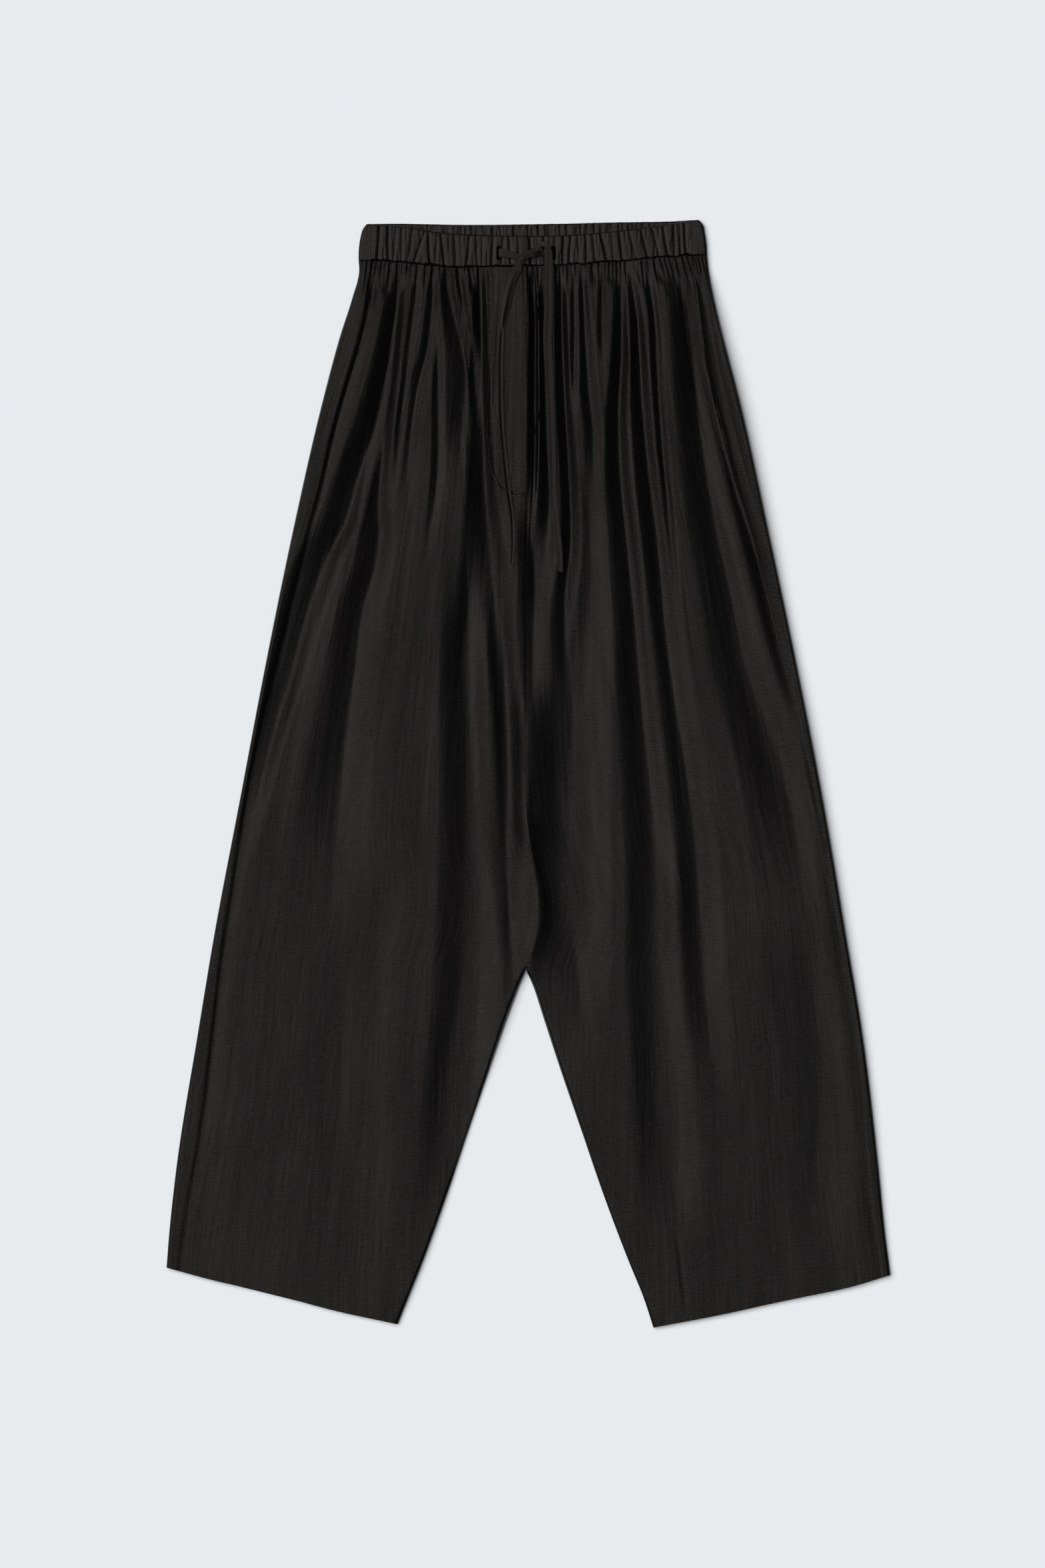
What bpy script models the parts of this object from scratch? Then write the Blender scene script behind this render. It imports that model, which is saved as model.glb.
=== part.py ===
"""Maxi pants with a gathered elastic waist, laid flat on their back with the front up.

Sizes are in millimetres until a mesh is made. +X is the wearer's left, +Y the waist and +Z up, and the cloth
lies on the plane z = 0. Places read from the photograph are columns named across and down, in its pixels.
"""

import math
from collections import namedtuple

import bpy
import numpy as np

# Scale of the photograph, from the relaxed waist of 340 mm and the 30 mm waistband
PIXEL = 0.65
MIDDLE_ACROSS = 793.0
MIDDLE_DOWN = 1160.75
METRES = 0.001

# Thicknesses and clearances
CLOTH = 1.2
GATHERED_BACK = 1.2
BAND_WALL = 2.4
TAPE_WALL = 1.0
PLACKET_WALL = 0.9
SEAM_GAP = 0.3

# Loft of the front over the layers below it, from the waist seam to the hem
Loft = namedtuple("Loft", "down height")
LOFT = (
    Loft(400, 1.2),
    Loft(418, 3.6),
    Loft(448, 6.6),
    Loft(520, 9.2),
    Loft(700, 9.6),
    Loft(900, 8.8),
    Loft(1100, 7.8),
    Loft(1300, 6.8),
    Loft(1450, 6.0),
    Loft(1600, 4.8),
    Loft(1750, 3.6),
    Loft(1900, 2.6),
    Loft(1992, 2.1),
)
SOFT_FLOOR = 1.6
SLOPE_STEP = 0.5
STEEPEST = 2.6
INSEAM_ROLL = 9.0
ROLL_START_ABOVE = 6.0
ROLL_START_LENGTH = 24.0
SIDE_ROLL = 3.2

# The pressed side seam: its groove's width on each side and its depth, at most a share of the loft
GROOVE_OUTSIDE = 2.6
GROOVE_INSIDE = 6.5
GROOVE_DEPTH = 2.4
GROOVE_SHARE = 0.45

# Outlines and seams as (across, down) in the photograph
OUTLINE_RIGHT = (
    (538, 392), (539, 402), (528, 450), (512, 500), (485, 600), (439, 800), (398, 1000),
    (360, 1200), (322, 1400), (297, 1550), (265, 1750), (254, 1850), (250, 1901),
)
OUTLINE_LEFT = (
    (1061, 384), (1063, 402), (1072, 450), (1084, 500), (1110, 600), (1154, 800), (1196, 1000),
    (1235, 1200), (1269, 1400), (1294, 1550), (1318, 1750), (1328, 1850), (1336, 1912),
)
SIDE_SEAM_RIGHT = (
    (556, 392), (551, 470), (540, 518), (521, 581), (504, 643), (484, 730), (452, 850), (420, 980),
    (378, 1160), (353, 1320), (334, 1440), (320, 1560), (299, 1720), (284, 1800), (269, 1902),
)
SIDE_SEAM_LEFT = (
    (1037, 385), (1048, 477), (1064, 568), (1089, 668), (1101, 715), (1128, 800), (1160, 940), (1183, 1030),
    (1200, 1110), (1222, 1220), (1243, 1320), (1262, 1430), (1283, 1560), (1298, 1720), (1305, 1800),
    (1321, 1914),
)
CENTRE_FRONT = (
    (790.5, 399), (790, 560), (789, 744), (787, 900), (787, 1060), (788, 1160), (791, 1227), (799, 1275),
    (812, 1312), (819, 1350), (817, 1378), (811, 1400), (801, 1424), (789, 1454),
)
CENTRE_BACK = ((793, 378), (789, 1454))
INSEAM_RIGHT = (
    (789, 1454), (779, 1480), (764, 1520), (736, 1600), (702, 1700), (669, 1800), (633, 1900), (597, 1986),
)
INSEAM_LEFT = (
    (789, 1454), (800, 1480), (813, 1520), (839, 1600), (873, 1700), (907, 1800), (945, 1900), (966, 1950),
    (980, 1991),
)
HEM_RIGHT = ((250, 1901), (320, 1920), (400, 1938), (500, 1965), (597, 1986))
HEM_LEFT = ((980, 1991), (1080, 1972), (1180, 1950), (1280, 1929), (1336, 1912))
FLY_EDGE = ((731, 399), (731, 560), (731, 672), (735, 704), (744, 727), (757, 741), (764, 746))
FLY_LINE_ACROSS = 731

# Waistband edges as (across, down), from the wearer's right to the left
BAND_LOW_FRONT = (
    (536, 392), (600, 394), (666, 401), (720, 401), (793, 400), (831, 398), (899, 395), (948, 390),
    (1017, 385),
    (1063, 383),
)
BAND_HIGH_FRONT = (
    (536, 337), (570, 337), (624, 343), (659, 349), (700, 352), (780, 354), (839, 353.5), (875, 351.5),
    (938, 345.6),
    (978, 340.6), (1017, 334.7), (1045, 331), (1063, 331),
)
BAND_LOW_BACK = ((536, 392), (600, 387), (700, 382), (793, 381), (900, 381), (1000, 382), (1063, 383))
BAND_HIGH_BACK = (
    (536, 337), (570, 336), (700, 337.5), (835, 336), (915, 334), (1015, 332), (1045, 330.5), (1063, 331),
)
# Where the folded ends of the band lie, at each share of its height
BandEnd = namedtuple("BandEnd", "share right_across left_across")
BAND_ENDS = (
    BandEnd(0.0, 538.0, 1061.0),
    BandEnd(0.35, 538.5, 1060.0),
    BandEnd(0.65, 541.0, 1057.5),
    BandEnd(0.88, 545.0, 1054.5),
    BandEnd(1.0, 550.0, 1049.0),
)
BAND_ROLL = 2.7

# Creases between the puckers of the front waistband
Crease = namedtuple("Crease", "across_top across_low")
FRONT_CREASES = tuple(
    Crease(*pair)
    for pair in (
        (571, 567), (583, 583), (594, 591), (604, 602), (620, 612), (638, 622), (643, 646), (656, 654),
        (662, 668),
        (682, 684), (692, 693), (705, 701), (714, 717), (724, 724), (740, 738), (756, 752), (764, 767),
        (777, 781),
        (795, 798), (806, 806), (817, 817), (833, 832), (846, 845), (857, 855), (868, 868), (879, 881),
        (890, 894),
        (901, 912), (918, 922), (929, 935), (944, 955), (962, 972), (978, 990), (995, 1003), (1012, 1013),
        (1020, 1022), (1027, 1030),
    )
)
PUCKER_SLOPE = 0.13
PUCKER_MOST = 1.15
CROWN_START = 0.3
EDGE_CROWN = 0.8
BACK_CREASES = 44
PLAIN_COLUMNS = 30
BACK_CREASE_DEPTH = 0.9
CREASE_UNEVEN = 0.25
CREASE_TURN = 2.1
# Height of the front band's plain upper face
BAND_TOP = BAND_WALL + SEAM_GAP + BAND_WALL
# Shares of the band's height that its rows lie at
FRONT_BAND_ROWS = (0.0, 0.3, 0.7, 1.0)
BACK_BAND_ROWS = (0.0, 0.35, 0.65, 0.88, 1.0)
BAND_SEAM_RIGHT = (556, 392)
BAND_SEAM_LEFT = (1037, 385)

# The long troughs and short gathers of the front. The foot of the shaded slope follows the line, shaded is
# that slope's width in pixels at the top, middle and foot, and rise is the far slope's share of it.
Trough = namedtuple("Trough", "depth shaded rise line")
TROUGHS_RIGHT = (
    Trough(8.6, (13, 39, 24), 0.45, (
        (600, 402), (596, 460), (588, 520), (576, 580), (562, 640), (538, 715), (515, 790), (489, 840),
        (467, 900), (449, 960), (436, 1010), (418, 1070), (402, 1130), (388, 1190), (374, 1250), (360, 1320),
    )),
    Trough(6.4, (5, 32, 62), 0.6, (
        (594, 450), (592, 540), (577, 640), (572, 700), (568, 760), (569, 810), (562, 855), (548, 900),
        (532, 1010), (523, 1080), (514, 1150), (508, 1230), (503, 1300), (498, 1400),
    )),
    Trough(2.2, (5, 6, 8), 0.9, ((629, 402), (620, 480), (610, 560), (601, 640), (594, 700), (576, 800))),
    Trough(3.8, (7, 12, 12), 0.8, ((652, 402), (648, 470), (641, 530), (630, 570), (614, 680), (610, 780))),
    Trough(2.4, (5, 8, 8), 0.9, ((657, 440), (657, 520), (658, 640), (655, 730), (636, 850))),
    Trough(6.0, (8, 26, 30), 0.7, ((668, 402), (680, 470), (693, 520), (699, 560), (697, 610), (692, 660),
        (694, 740))),
    Trough(8.8, (26, 46, 48), 0.6, (
        (694, 780), (701, 860), (702, 990), (707, 1120), (711, 1240), (713, 1300),
        (711, 1400), (706, 1500), (697, 1600), (688, 1700), (678, 1800), (668, 1880),
    )),
    Trough(3.4, (5, 9, 8), 0.8, ((688, 402), (697, 470), (708, 520), (712, 570), (716, 650))),
    Trough(9.0, (7, 23, 72), 0.5, (
        (721, 402), (722, 480), (723, 560), (725, 660), (729, 760), (735, 830), (742, 920), (746, 1000),
        (748, 1080),
    )),
    Trough(6.6, (18, 26, 16), 0.7, (
        (742, 860), (752, 940), (759, 1060), (762, 1180), (760, 1280), (764, 1370), (769, 1460), (764, 1540),
    )),
    Trough(1.6, (40, 60, 60), 0.8, ((512, 1400), (512, 1600), (516, 1760), (520, 1900))),
    Trough(1.0, (30, 36, 36), 0.8, ((572, 1300), (566, 1450), (562, 1600))),
)
TROUGHS_LEFT = (
    Trough(8.0, (6, 9, 8), 0.35, ((799, 400), (803, 480), (803, 560), (803, 640), (802, 710), (798, 790))),
    Trough(6.0, (6, 12, 22), 0.8, (
        (815, 400), (817, 480), (818, 560), (820, 640), (824, 730), (822, 800), (813, 880), (808, 950),
    )),
    Trough(5.2, (14, 24, 20), 1.4, (
        (790, 740), (798, 820), (803, 880), (800, 950), (800, 1040), (808, 1130),
    )),
    Trough(7.0, (6, 14, 20), 0.7, (
        (842, 400), (843, 500), (847, 600), (853, 700), (856, 820), (848, 900), (850, 1030), (850, 1110),
    )),
    Trough(7.2, (28, 64, 50), 0.5, (
        (860, 860), (863, 930), (861, 1010), (857, 1110), (853, 1200), (853, 1290), (858, 1370), (866, 1450),
        (876, 1540), (886, 1620),
    )),
    Trough(2.4, (4, 5, 5), 0.9, ((862, 400), (862, 520), (860, 640))),
    Trough(4.2, (5, 11, 11), 0.9, ((873, 402), (877, 480), (884, 590), (890, 650), (888, 760))),
    Trough(3.0, (14, 26, 20), 1.2, ((882, 700), (886, 800), (886, 900), (882, 1000), (878, 1080))),
    Trough(2.2, (4, 5, 5), 1.0, ((904, 400), (903, 460), (905, 550))),
    Trough(7.2, (8, 34, 48), 0.6, (
        (932, 402), (932, 540), (928, 620), (930, 700), (943, 840), (952, 930), (965, 1080), (975, 1180),
        (983, 1290), (986, 1420), (994, 1530), (1004, 1650), (1012, 1800), (1016, 1920),
    )),
    Trough(6.4, (7, 28, 34), 0.7, (
        (944, 400), (955, 470), (962, 590), (973, 710), (987, 820), (998, 940), (1017, 1080), (1030, 1160),
        (1042, 1260), (1050, 1370), (1057, 1480), (1068, 1590), (1082, 1700),
    )),
    Trough(3.8, (7, 8, 5), 0.8, ((970, 396), (982, 480), (986, 560), (996, 700), (1008, 820), (1022, 960))),
    Trough(8.6, (20, 38, 64), 0.6, (
        (1004, 392), (1026, 440), (1036, 510), (1046, 610), (1060, 710), (1076, 800), (1096, 890),
        (1118, 1000), (1146, 1080), (1170, 1150), (1188, 1220), (1200, 1300), (1208, 1400),
    )),
    Trough(6.4, (9, 26, 34), 0.6, (
        (1034, 388), (1048, 470), (1061, 556), (1079, 650), (1101, 730), (1136, 840), (1164, 950),
        (1190, 1055), (1206, 1140),
    )),
    Trough(3.0, (60, 80, 60), 0.6, ((1205, 1380), (1222, 1500), (1230, 1600), (1224, 1740), (1208, 1930))),
    Trough(0.6, (4, 5, 4), 0.7, ((1014, 1840), (1020, 1880), (1026, 1930), (1032, 1985))),
    Trough(1.0, (8, 13, 9), 4.0, (
        (800, 1150), (803, 1230), (812, 1280), (824, 1325), (829, 1360), (827, 1395), (812, 1435), (797, 1475),
    )),
)
# How a trough begins and ends: its share of depth at the waist seam, and the shares of length it fades over
WAIST_START_DOWN = 410
SEAM_DEPTH = 0.45
SEAM_FADE = 0.1
START_FADE = 0.22
END_FADE = 0.38
END_FADE_MOST = 180.0
ABOVE_START = 12.0
SHADED_REACH = 1.25

# Short gathers under the waist seam: where each starts, where it ends and its depth
Gather = namedtuple("Gather", "across_top across_foot down_foot depth")
GATHERS_RIGHT = (
    Gather(566, 556, 470, 2.2), Gather(576, 570, 440, 1.8), Gather(585, 578, 450, 1.8),
    Gather(611, 606, 445, 1.8),
    Gather(619, 615, 436, 1.6), Gather(640, 636, 438, 1.4), Gather(676, 677, 430, 1.4),
    Gather(706, 712, 450, 2.2),
)
GATHERS_LEFT = (
    Gather(806, 806, 455, 2.0), Gather(851, 852, 445, 2.0), Gather(893, 893, 432, 1.4),
    Gather(913, 914, 428, 1.6),
    Gather(922, 922, 434, 1.8), Gather(956, 962, 430, 1.4), Gather(985, 996, 430, 1.8),
    Gather(1018, 1032, 430, 1.8),
    Gather(1026, 1048, 450, 2.0),
)
GATHER_WIDTH = 5
GATHER_RISE = 0.9
GATHER_START_DOWN = 398

# Rows of the leg panels down the middle of the photograph, and how many columns the rows have
FRONT_LEVELS = (
    410, 424, 442, 468, 502, 544, 592, 640, 680, 704, 722, 736, 746, 800, 876, 960, 1060, 1160, 1232,
    1290, 1350, 1408, 1454, 1560, 1690, 1810, 1930,
)
CROTCH_DOWN = 1454
WAIST_BEND = 8
HEM_BEND = 12
WAIST_END_DOWN = 392
BACK_MIDDLE_DOWN = 381
FRONT_MIDDLE_DOWN = 400
FLY_COLUMNS = 6
FLY_SHARE = 0.25
FLY_LAST_LEVEL = 746
LEVEL_SLACK = 0.01
PLACKET_BELOW_SEAM = 0.4
WAIST_COLUMNS = 66
HEM_COLUMNS = 18
BACK_GATHERS = 12
GATHER_COLUMNS = 3
BACK_GATHER_END = 640
BACK_SWELL_TOP = 430
BACK_SWELL_FOOT = 800
BACK_COLUMNS = 3
ROLL_POINTS = 3
WRAP_COLUMNS = 3
SETTLING_TURNS = 4
# Shares across a back row where its flat part ends and where its turned-up part begins
FLAT_SHARE = 0.6
WRAP_SHARE = 0.8

# The drawstring tape, as (across, down, width in millimetres), with its level over the band at the knot
Tape = namedtuple("Tape", "across down width level")
TAPE_TO_RIGHT = (
    Tape(752, 380, 8.4, 0), Tape(762, 382, 7.6, 0), Tape(773, 385, 5.2, 0), Tape(784, 384.5, 4.6, 0),
    Tape(795, 380, 5.0, 0), Tape(805, 373.5, 5.0, 0), Tape(813, 367.0, 4.6, 1.3),
    Tape(819.5, 368.5, 5.0, 2.6),
    Tape(822, 377, 7.6, 2.6), Tape(823, 392, 8.8, 1.9), Tape(823, 420, 8.9, 0), Tape(823, 460, 9.0, 0),
    Tape(821.5, 508, 9.0, 0), Tape(824, 560, 9.0, 0), Tape(826, 620, 9.0, 0), Tape(828, 688, 9.0, 0),
    Tape(831, 752, 8.6, 0), Tape(836, 800, 7.6, 0), Tape(840, 836, 6.2, 0), Tape(841, 858, 5.0, 0),
)
TAPE_TO_LEFT = (
    Tape(827, 380, 7.6, 0), Tape(815, 380.5, 6.2, 0.4), Tape(803, 383, 5.0, 1.8), Tape(792, 385, 4.6, 2.1),
    Tape(784, 387.5, 4.6, 2.3), Tape(779.5, 393, 6.6, 1.2), Tape(777, 402, 8.6, 0.2),
    Tape(770, 417, 8.8, 0),
    Tape(764, 436, 8.8, 0), Tape(759, 460, 8.6, 0), Tape(755, 482, 5.4, 0), Tape(751.5, 527, 6.0, 0),
    Tape(751, 577, 6.0, 0), Tape(752, 626, 6.0, 0), Tape(757, 688, 6.0, 0), Tape(763, 741, 6.0, 0),
    Tape(768, 773, 5.8, 0), Tape(769.5, 820, 5.2, 0), Tape(768, 846, 4.2, 0),
)
KNOT_ROWS = 9
KNOT_STEP = 2.8
TAPE_STEP = 9.5
# How the tape settles on the cloth: places looked at across it, past its sides, and the length it bridges
TAPE_SAMPLES = 9
TAPE_MARGIN = 2.5
TAPE_BRIDGE = 10.0
PLACKET_MARGIN = 3.0
# The buttonholes, and the tape's turn out of them
SLOT_WIDTH = 1.9
SLOT_HEIGHT = 11.5
SLOT_ASIDE = 2.2
SLOT_TAPE_WIDTH = 8.2
SLOT_DEEP = 2.9
TURN_START = 1.4
TURN_ACROSS = 0.45


def clear_scene():
    """Takes away what the start-up scene holds."""
    for thing in list(bpy.data.objects):
        bpy.data.objects.remove(thing)


def from_photo(points):
    """The (x, y) in millimetres of points given as (across, down) in the photograph."""
    places = np.array(points, float)
    across = (places[:, 0] - MIDDLE_ACROSS) * PIXEL
    return np.column_stack((across, (MIDDLE_DOWN - places[:, 1]) * PIXEL))


def height_of(down):
    """The y in millimetres of a height in the photograph."""
    return (MIDDLE_DOWN - np.asarray(down, float)) * PIXEL


def ease(share):
    """A smooth step from 0 to 1."""
    kept = np.clip(share, 0, 1)
    return kept * kept * (3 - 2 * kept)


def smooth_through(knots, values):
    """A smooth function through the values at rising knots, held at its end values."""
    knots = np.asarray(knots, float)
    values = np.asarray(values, float)
    slopes = np.gradient(values, knots)

    def at(place):
        kept = np.clip(place, knots[0], knots[-1])
        index = np.clip(np.searchsorted(knots, kept) - 1, 0, len(knots) - 2)
        span = knots[index + 1] - knots[index]
        share = (kept - knots[index]) / span
        cube = share * share * share
        square = share * share
        return (
            (2 * cube - 3 * square + 1) * values[index]
            + (cube - 2 * square + share) * span * slopes[index]
            + (3 * square - 2 * cube) * values[index + 1]
            + (cube - square) * span * slopes[index + 1]
        )

    return at


def line_down(points):
    """The place across of a line that runs down the photograph, as a function of y."""
    places = from_photo(points)[::-1]
    return smooth_through(places[:, 1], places[:, 0])


def line_across(points):
    """The y of a line that runs across the photograph, as a function of x."""
    places = from_photo(points)
    return smooth_through(places[:, 0], places[:, 1])


loft_at = smooth_through([row.down for row in LOFT], [row.height for row in LOFT])
centre_front = line_down(CENTRE_FRONT)
centre_back = line_down(CENTRE_BACK)
fly_edge = line_down(FLY_EDGE)
low_front = line_across(BAND_LOW_FRONT)
high_front = line_across(BAND_HIGH_FRONT)
low_back = line_across(BAND_LOW_BACK)
high_back = line_across(BAND_HIGH_BACK)
CROTCH = float(height_of(CROTCH_DOWN))

# A row of places across a sheet. Its shares match it to the row above it, and shares_below to the one below.
Row = namedtuple("Row", "places shares shares_below")
Leg = namedtuple("Leg", "name outline side_seam inseam hem hem_inner_down hem_outer_down outer_sign")
RIGHT_LEG = Leg(
    name="right",
    outline=line_down(OUTLINE_RIGHT),
    side_seam=line_down(SIDE_SEAM_RIGHT),
    inseam=line_down(INSEAM_RIGHT),
    hem=line_across(HEM_RIGHT),
    hem_inner_down=HEM_RIGHT[-1][1],
    hem_outer_down=HEM_RIGHT[0][1],
    outer_sign=-1,
)
LEFT_LEG = Leg(
    name="left",
    outline=line_down(OUTLINE_LEFT),
    side_seam=line_down(SIDE_SEAM_LEFT),
    inseam=line_down(INSEAM_LEFT),
    hem=line_across(HEM_LEFT),
    hem_inner_down=HEM_LEFT[0][1],
    hem_outer_down=HEM_LEFT[-1][1],
    outer_sign=1,
)


def back_thickness(y):
    """Thickness of the back layer, which gathers make thicker towards the waist."""
    foot = height_of(BACK_SWELL_FOOT)
    return CLOTH + GATHERED_BACK * ease((y - foot) / (height_of(BACK_SWELL_TOP) - foot))


def trough_profile(offset, shaded, rise):
    """1 at the foot of the trough, down to 0 over the shaded slope on one side and the rise on the other."""
    reach = np.where(offset < 0, shaded * SHADED_REACH, rise)
    share = np.clip(np.abs(offset) / reach, 0, 1)
    return 0.5 + 0.5 * np.cos(math.pi * share)


def trough_depth(trough, x, y):
    """How far one trough lowers the cloth at each place."""
    places = from_photo(trough.line)
    top, foot = places[0, 1], places[-1, 1]
    along = np.clip((top - y) / (top - foot), 0, 1)
    shaded = np.interp(along, (0, 0.5, 1), trough.shaded) * PIXEL
    if trough.line[0][1] < WAIST_START_DOWN:
        start = SEAM_DEPTH + (1 - SEAM_DEPTH) * ease(along / SEAM_FADE)
    else:
        start = ease(along / START_FADE)
    last = min(END_FADE, END_FADE_MOST / (top - foot))
    fade = start * (1 - ease((along - 1 + last) / last))
    fade = np.where((y < foot) | (y > top + ABOVE_START), 0, fade)
    offset = x - line_down(trough.line)(y)
    return trough.depth * fade * trough_profile(offset, shaded, shaded * trough.rise)


def as_trough(gather):
    """A short gather written as a trough with one width."""
    line = ((gather.across_top, GATHER_START_DOWN), (gather.across_foot, gather.down_foot))
    return Trough(gather.depth, (GATHER_WIDTH,) * 3, GATHER_RISE, line)


ALL_TROUGHS = (
    TROUGHS_RIGHT
    + TROUGHS_LEFT
    + tuple(as_trough(gather) for gather in GATHERS_RIGHT)
    + tuple(as_trough(gather) for gather in GATHERS_LEFT)
)


def inner_edge(leg, y, centre):
    """The place across of a leg's inner edge: the centre seam above the crotch and the inseam below it."""
    return np.where(y >= CROTCH, centre(np.maximum(y, CROTCH)), leg.inseam(np.minimum(y, CROTCH)))


def front_top(x, y):
    """Height of the upper face of the front, and of the cloth that the back brings round each side."""
    x = np.asarray(x, float)
    y = np.asarray(y, float)
    loft = loft_at(MIDDLE_DOWN - y / PIXEL)
    lift = loft
    for trough in ALL_TROUGHS:
        lift = lift - trough_depth(trough, x, y)
    for leg in (RIGHT_LEG, LEFT_LEG):
        # The pressed side seam lies a little lower than the cloth beside it.
        beside = leg.outer_sign * (x - leg.side_seam(y))
        width = np.where(beside > 0, GROOVE_OUTSIDE, GROOVE_INSIDE)
        lift = lift - np.exp(-((beside / width) ** 2)) * np.minimum(GROOVE_DEPTH, GROOVE_SHARE * loft)
    lift = 0.5 * (lift + np.sqrt(lift * lift + SOFT_FLOOR * SOFT_FLOOR))
    for leg in (RIGHT_LEG, LEFT_LEG):
        inside = leg.outer_sign * (x - leg.inseam(np.minimum(y, CROTCH)))
        mine = leg.outer_sign * (x - centre_back(CROTCH)) > 0
        near = np.clip(inside / INSEAM_ROLL, 0, 1)
        below = ease((CROTCH + ROLL_START_ABOVE - y) / ROLL_START_LENGTH)
        rolled = 1 - below * (1 - np.sin(0.5 * math.pi * near))
        lift = lift * np.where(mine, rolled, 1)
    return back_thickness(y) + SEAM_GAP + CLOTH + lift


def front_under(x, y):
    """Height of the lower face: a wall's thickness square to the slope, and clear of the back layer."""
    slope_x = (front_top(x + SLOPE_STEP, y) - front_top(x - SLOPE_STEP, y)) / (2 * SLOPE_STEP)
    slope_y = (front_top(x, y + SLOPE_STEP) - front_top(x, y - SLOPE_STEP)) / (2 * SLOPE_STEP)
    steepness = np.minimum(np.sqrt(1 + slope_x**2 + slope_y**2), STEEPEST)
    under = front_top(x, y) - CLOTH * steepness
    return np.maximum(under, back_thickness(y) + SEAM_GAP)


def row_of(x, y, z, shares=None, shares_below=None):
    """A row of places, with even shares across unless they are given."""
    if shares is None:
        shares = np.linspace(0, 1, len(x))
    return Row(np.column_stack((x, y, z)), shares, shares if shares_below is None else shares_below)


def strip(upper, upper_shares, lower, lower_shares, lower_first):
    """Triangles between two rows of point numbers, whose counts may differ.

    Where shares are equal, lower_first says which row is stepped along first, which turns the diagonal.
    """
    faces = []
    i = 0
    j = 0
    while i < len(upper) - 1 or j < len(lower) - 1:
        if j == len(lower) - 1:
            step_upper = True
        elif i == len(upper) - 1:
            step_upper = False
        elif lower_first:
            step_upper = upper_shares[i + 1] < lower_shares[j + 1]
        else:
            step_upper = upper_shares[i + 1] <= lower_shares[j + 1]
        if step_upper:
            faces.append((upper[i], lower[j], upper[i + 1]))
            i += 1
        else:
            faces.append((upper[i], lower[j], lower[j + 1]))
            j += 1
    return faces


def wall_faces(outer, inner):
    """Points and triangles of a closed wall between two sheets with the same number of rows."""
    points = []
    indexed = []
    for row in outer + inner[::-1]:
        indexed.append(range(len(points), len(points) + len(row.shares)))
        points.extend(tuple(place) for place in row.places)
    faces = []
    count = len(outer)
    for r in range(count - 1):
        faces += strip(indexed[r], outer[r].shares_below, indexed[r + 1], outer[r + 1].shares, False)
        # The inner sheet is walked upwards, and its diagonals run the same way as the outer sheet's.
        faces += strip(indexed[-2 - r], inner[r + 1].shares, indexed[-1 - r], inner[r].shares_below, True)
    faces += strip(indexed[count - 1], outer[-1].shares, indexed[count], inner[-1].shares, False)
    faces += strip(indexed[-1], inner[0].shares, indexed[0], outer[0].shares, False)
    for r in range(count - 1):
        above, below = indexed[r], indexed[r + 1]
        inner_above, inner_below = indexed[-1 - r], indexed[-2 - r]
        for end, turned in ((0, True), (-1, False)):
            quad = [above[end], below[end], inner_below[end], inner_above[end]]
            if turned:
                quad.reverse()
            faces.append((quad[0], quad[1], quad[2]))
            faces.append((quad[0], quad[2], quad[3]))
    return points, faces


def outward(points, faces):
    """The faces, turned where needed so that they point out of the solid."""
    places = np.array(points)
    corners = places[np.array(faces)]
    volume = np.einsum("ij,ij->i", corners[:, 0], np.cross(corners[:, 1], corners[:, 2])).sum()
    return faces if volume > 0 else [tuple(reversed(face)) for face in faces]


def add_solid(name, points, faces, material, sharp_degrees=50):
    """A named object in metres from points in millimetres."""
    mesh = bpy.data.meshes.new(name)
    in_metres = [tuple(METRES * value for value in place) for place in points]
    mesh.from_pydata(in_metres, [], outward(points, faces))
    mesh.update()
    mesh.shade_smooth()
    mesh.set_sharp_from_angle(angle=math.radians(sharp_degrees))
    mesh.materials.append(material)
    solid = bpy.data.objects.new(name, mesh)
    bpy.context.scene.collection.objects.link(solid)
    return solid


def cloth_material(name, colour, roughness):
    """A plain Principled material of black satiny cloth."""
    material = bpy.data.materials.new(name)
    material.use_nodes = True
    shader = material.node_tree.nodes["Principled BSDF"]
    shader.inputs["Base Color"].default_value = (*colour, 1)
    shader.inputs["Roughness"].default_value = roughness
    shader.inputs["Metallic"].default_value = 0
    return material


def level_heights(leg, waist_inner, waist_outer):
    """For each row, y at the leg's inner edge and at its outer edge, and its share of the way to the hem."""
    hem_inner = float(height_of(leg.hem_inner_down))
    hem_outer = float(height_of(leg.hem_outer_down))
    inner = np.concatenate(([waist_inner], height_of(FRONT_LEVELS), [hem_inner]))
    share = (waist_inner - inner) / (waist_inner - hem_inner)
    return inner, waist_outer + share * (hem_outer - waist_outer), share


def bent_row(x, y, share, waist_line, waist_chord, leg):
    """Bends a straight row of places to the waist seam's curve at the top and to the hem's at the foot."""
    at_waist = waist_line(x) - waist_chord(x)
    hem_inner = np.array((leg.inseam(height_of(leg.hem_inner_down)), height_of(leg.hem_inner_down)))
    hem_outer = np.array((leg.outline(height_of(leg.hem_outer_down)), height_of(leg.hem_outer_down)))
    chord = hem_inner[1] + (x - hem_inner[0]) / (hem_outer[0] - hem_inner[0]) * (hem_outer[1] - hem_inner[1])
    return y + at_waist * (1 - share) ** WAIST_BEND + (leg.hem(x) - chord) * share**HEM_BEND


def joined_runs(start, bend, end, count):
    """The fly's even steps from start to bend, then even steps to end."""
    return np.concatenate((np.linspace(start, bend, FLY_COLUMNS + 1), np.linspace(bend, end, count)[1:]))


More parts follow.
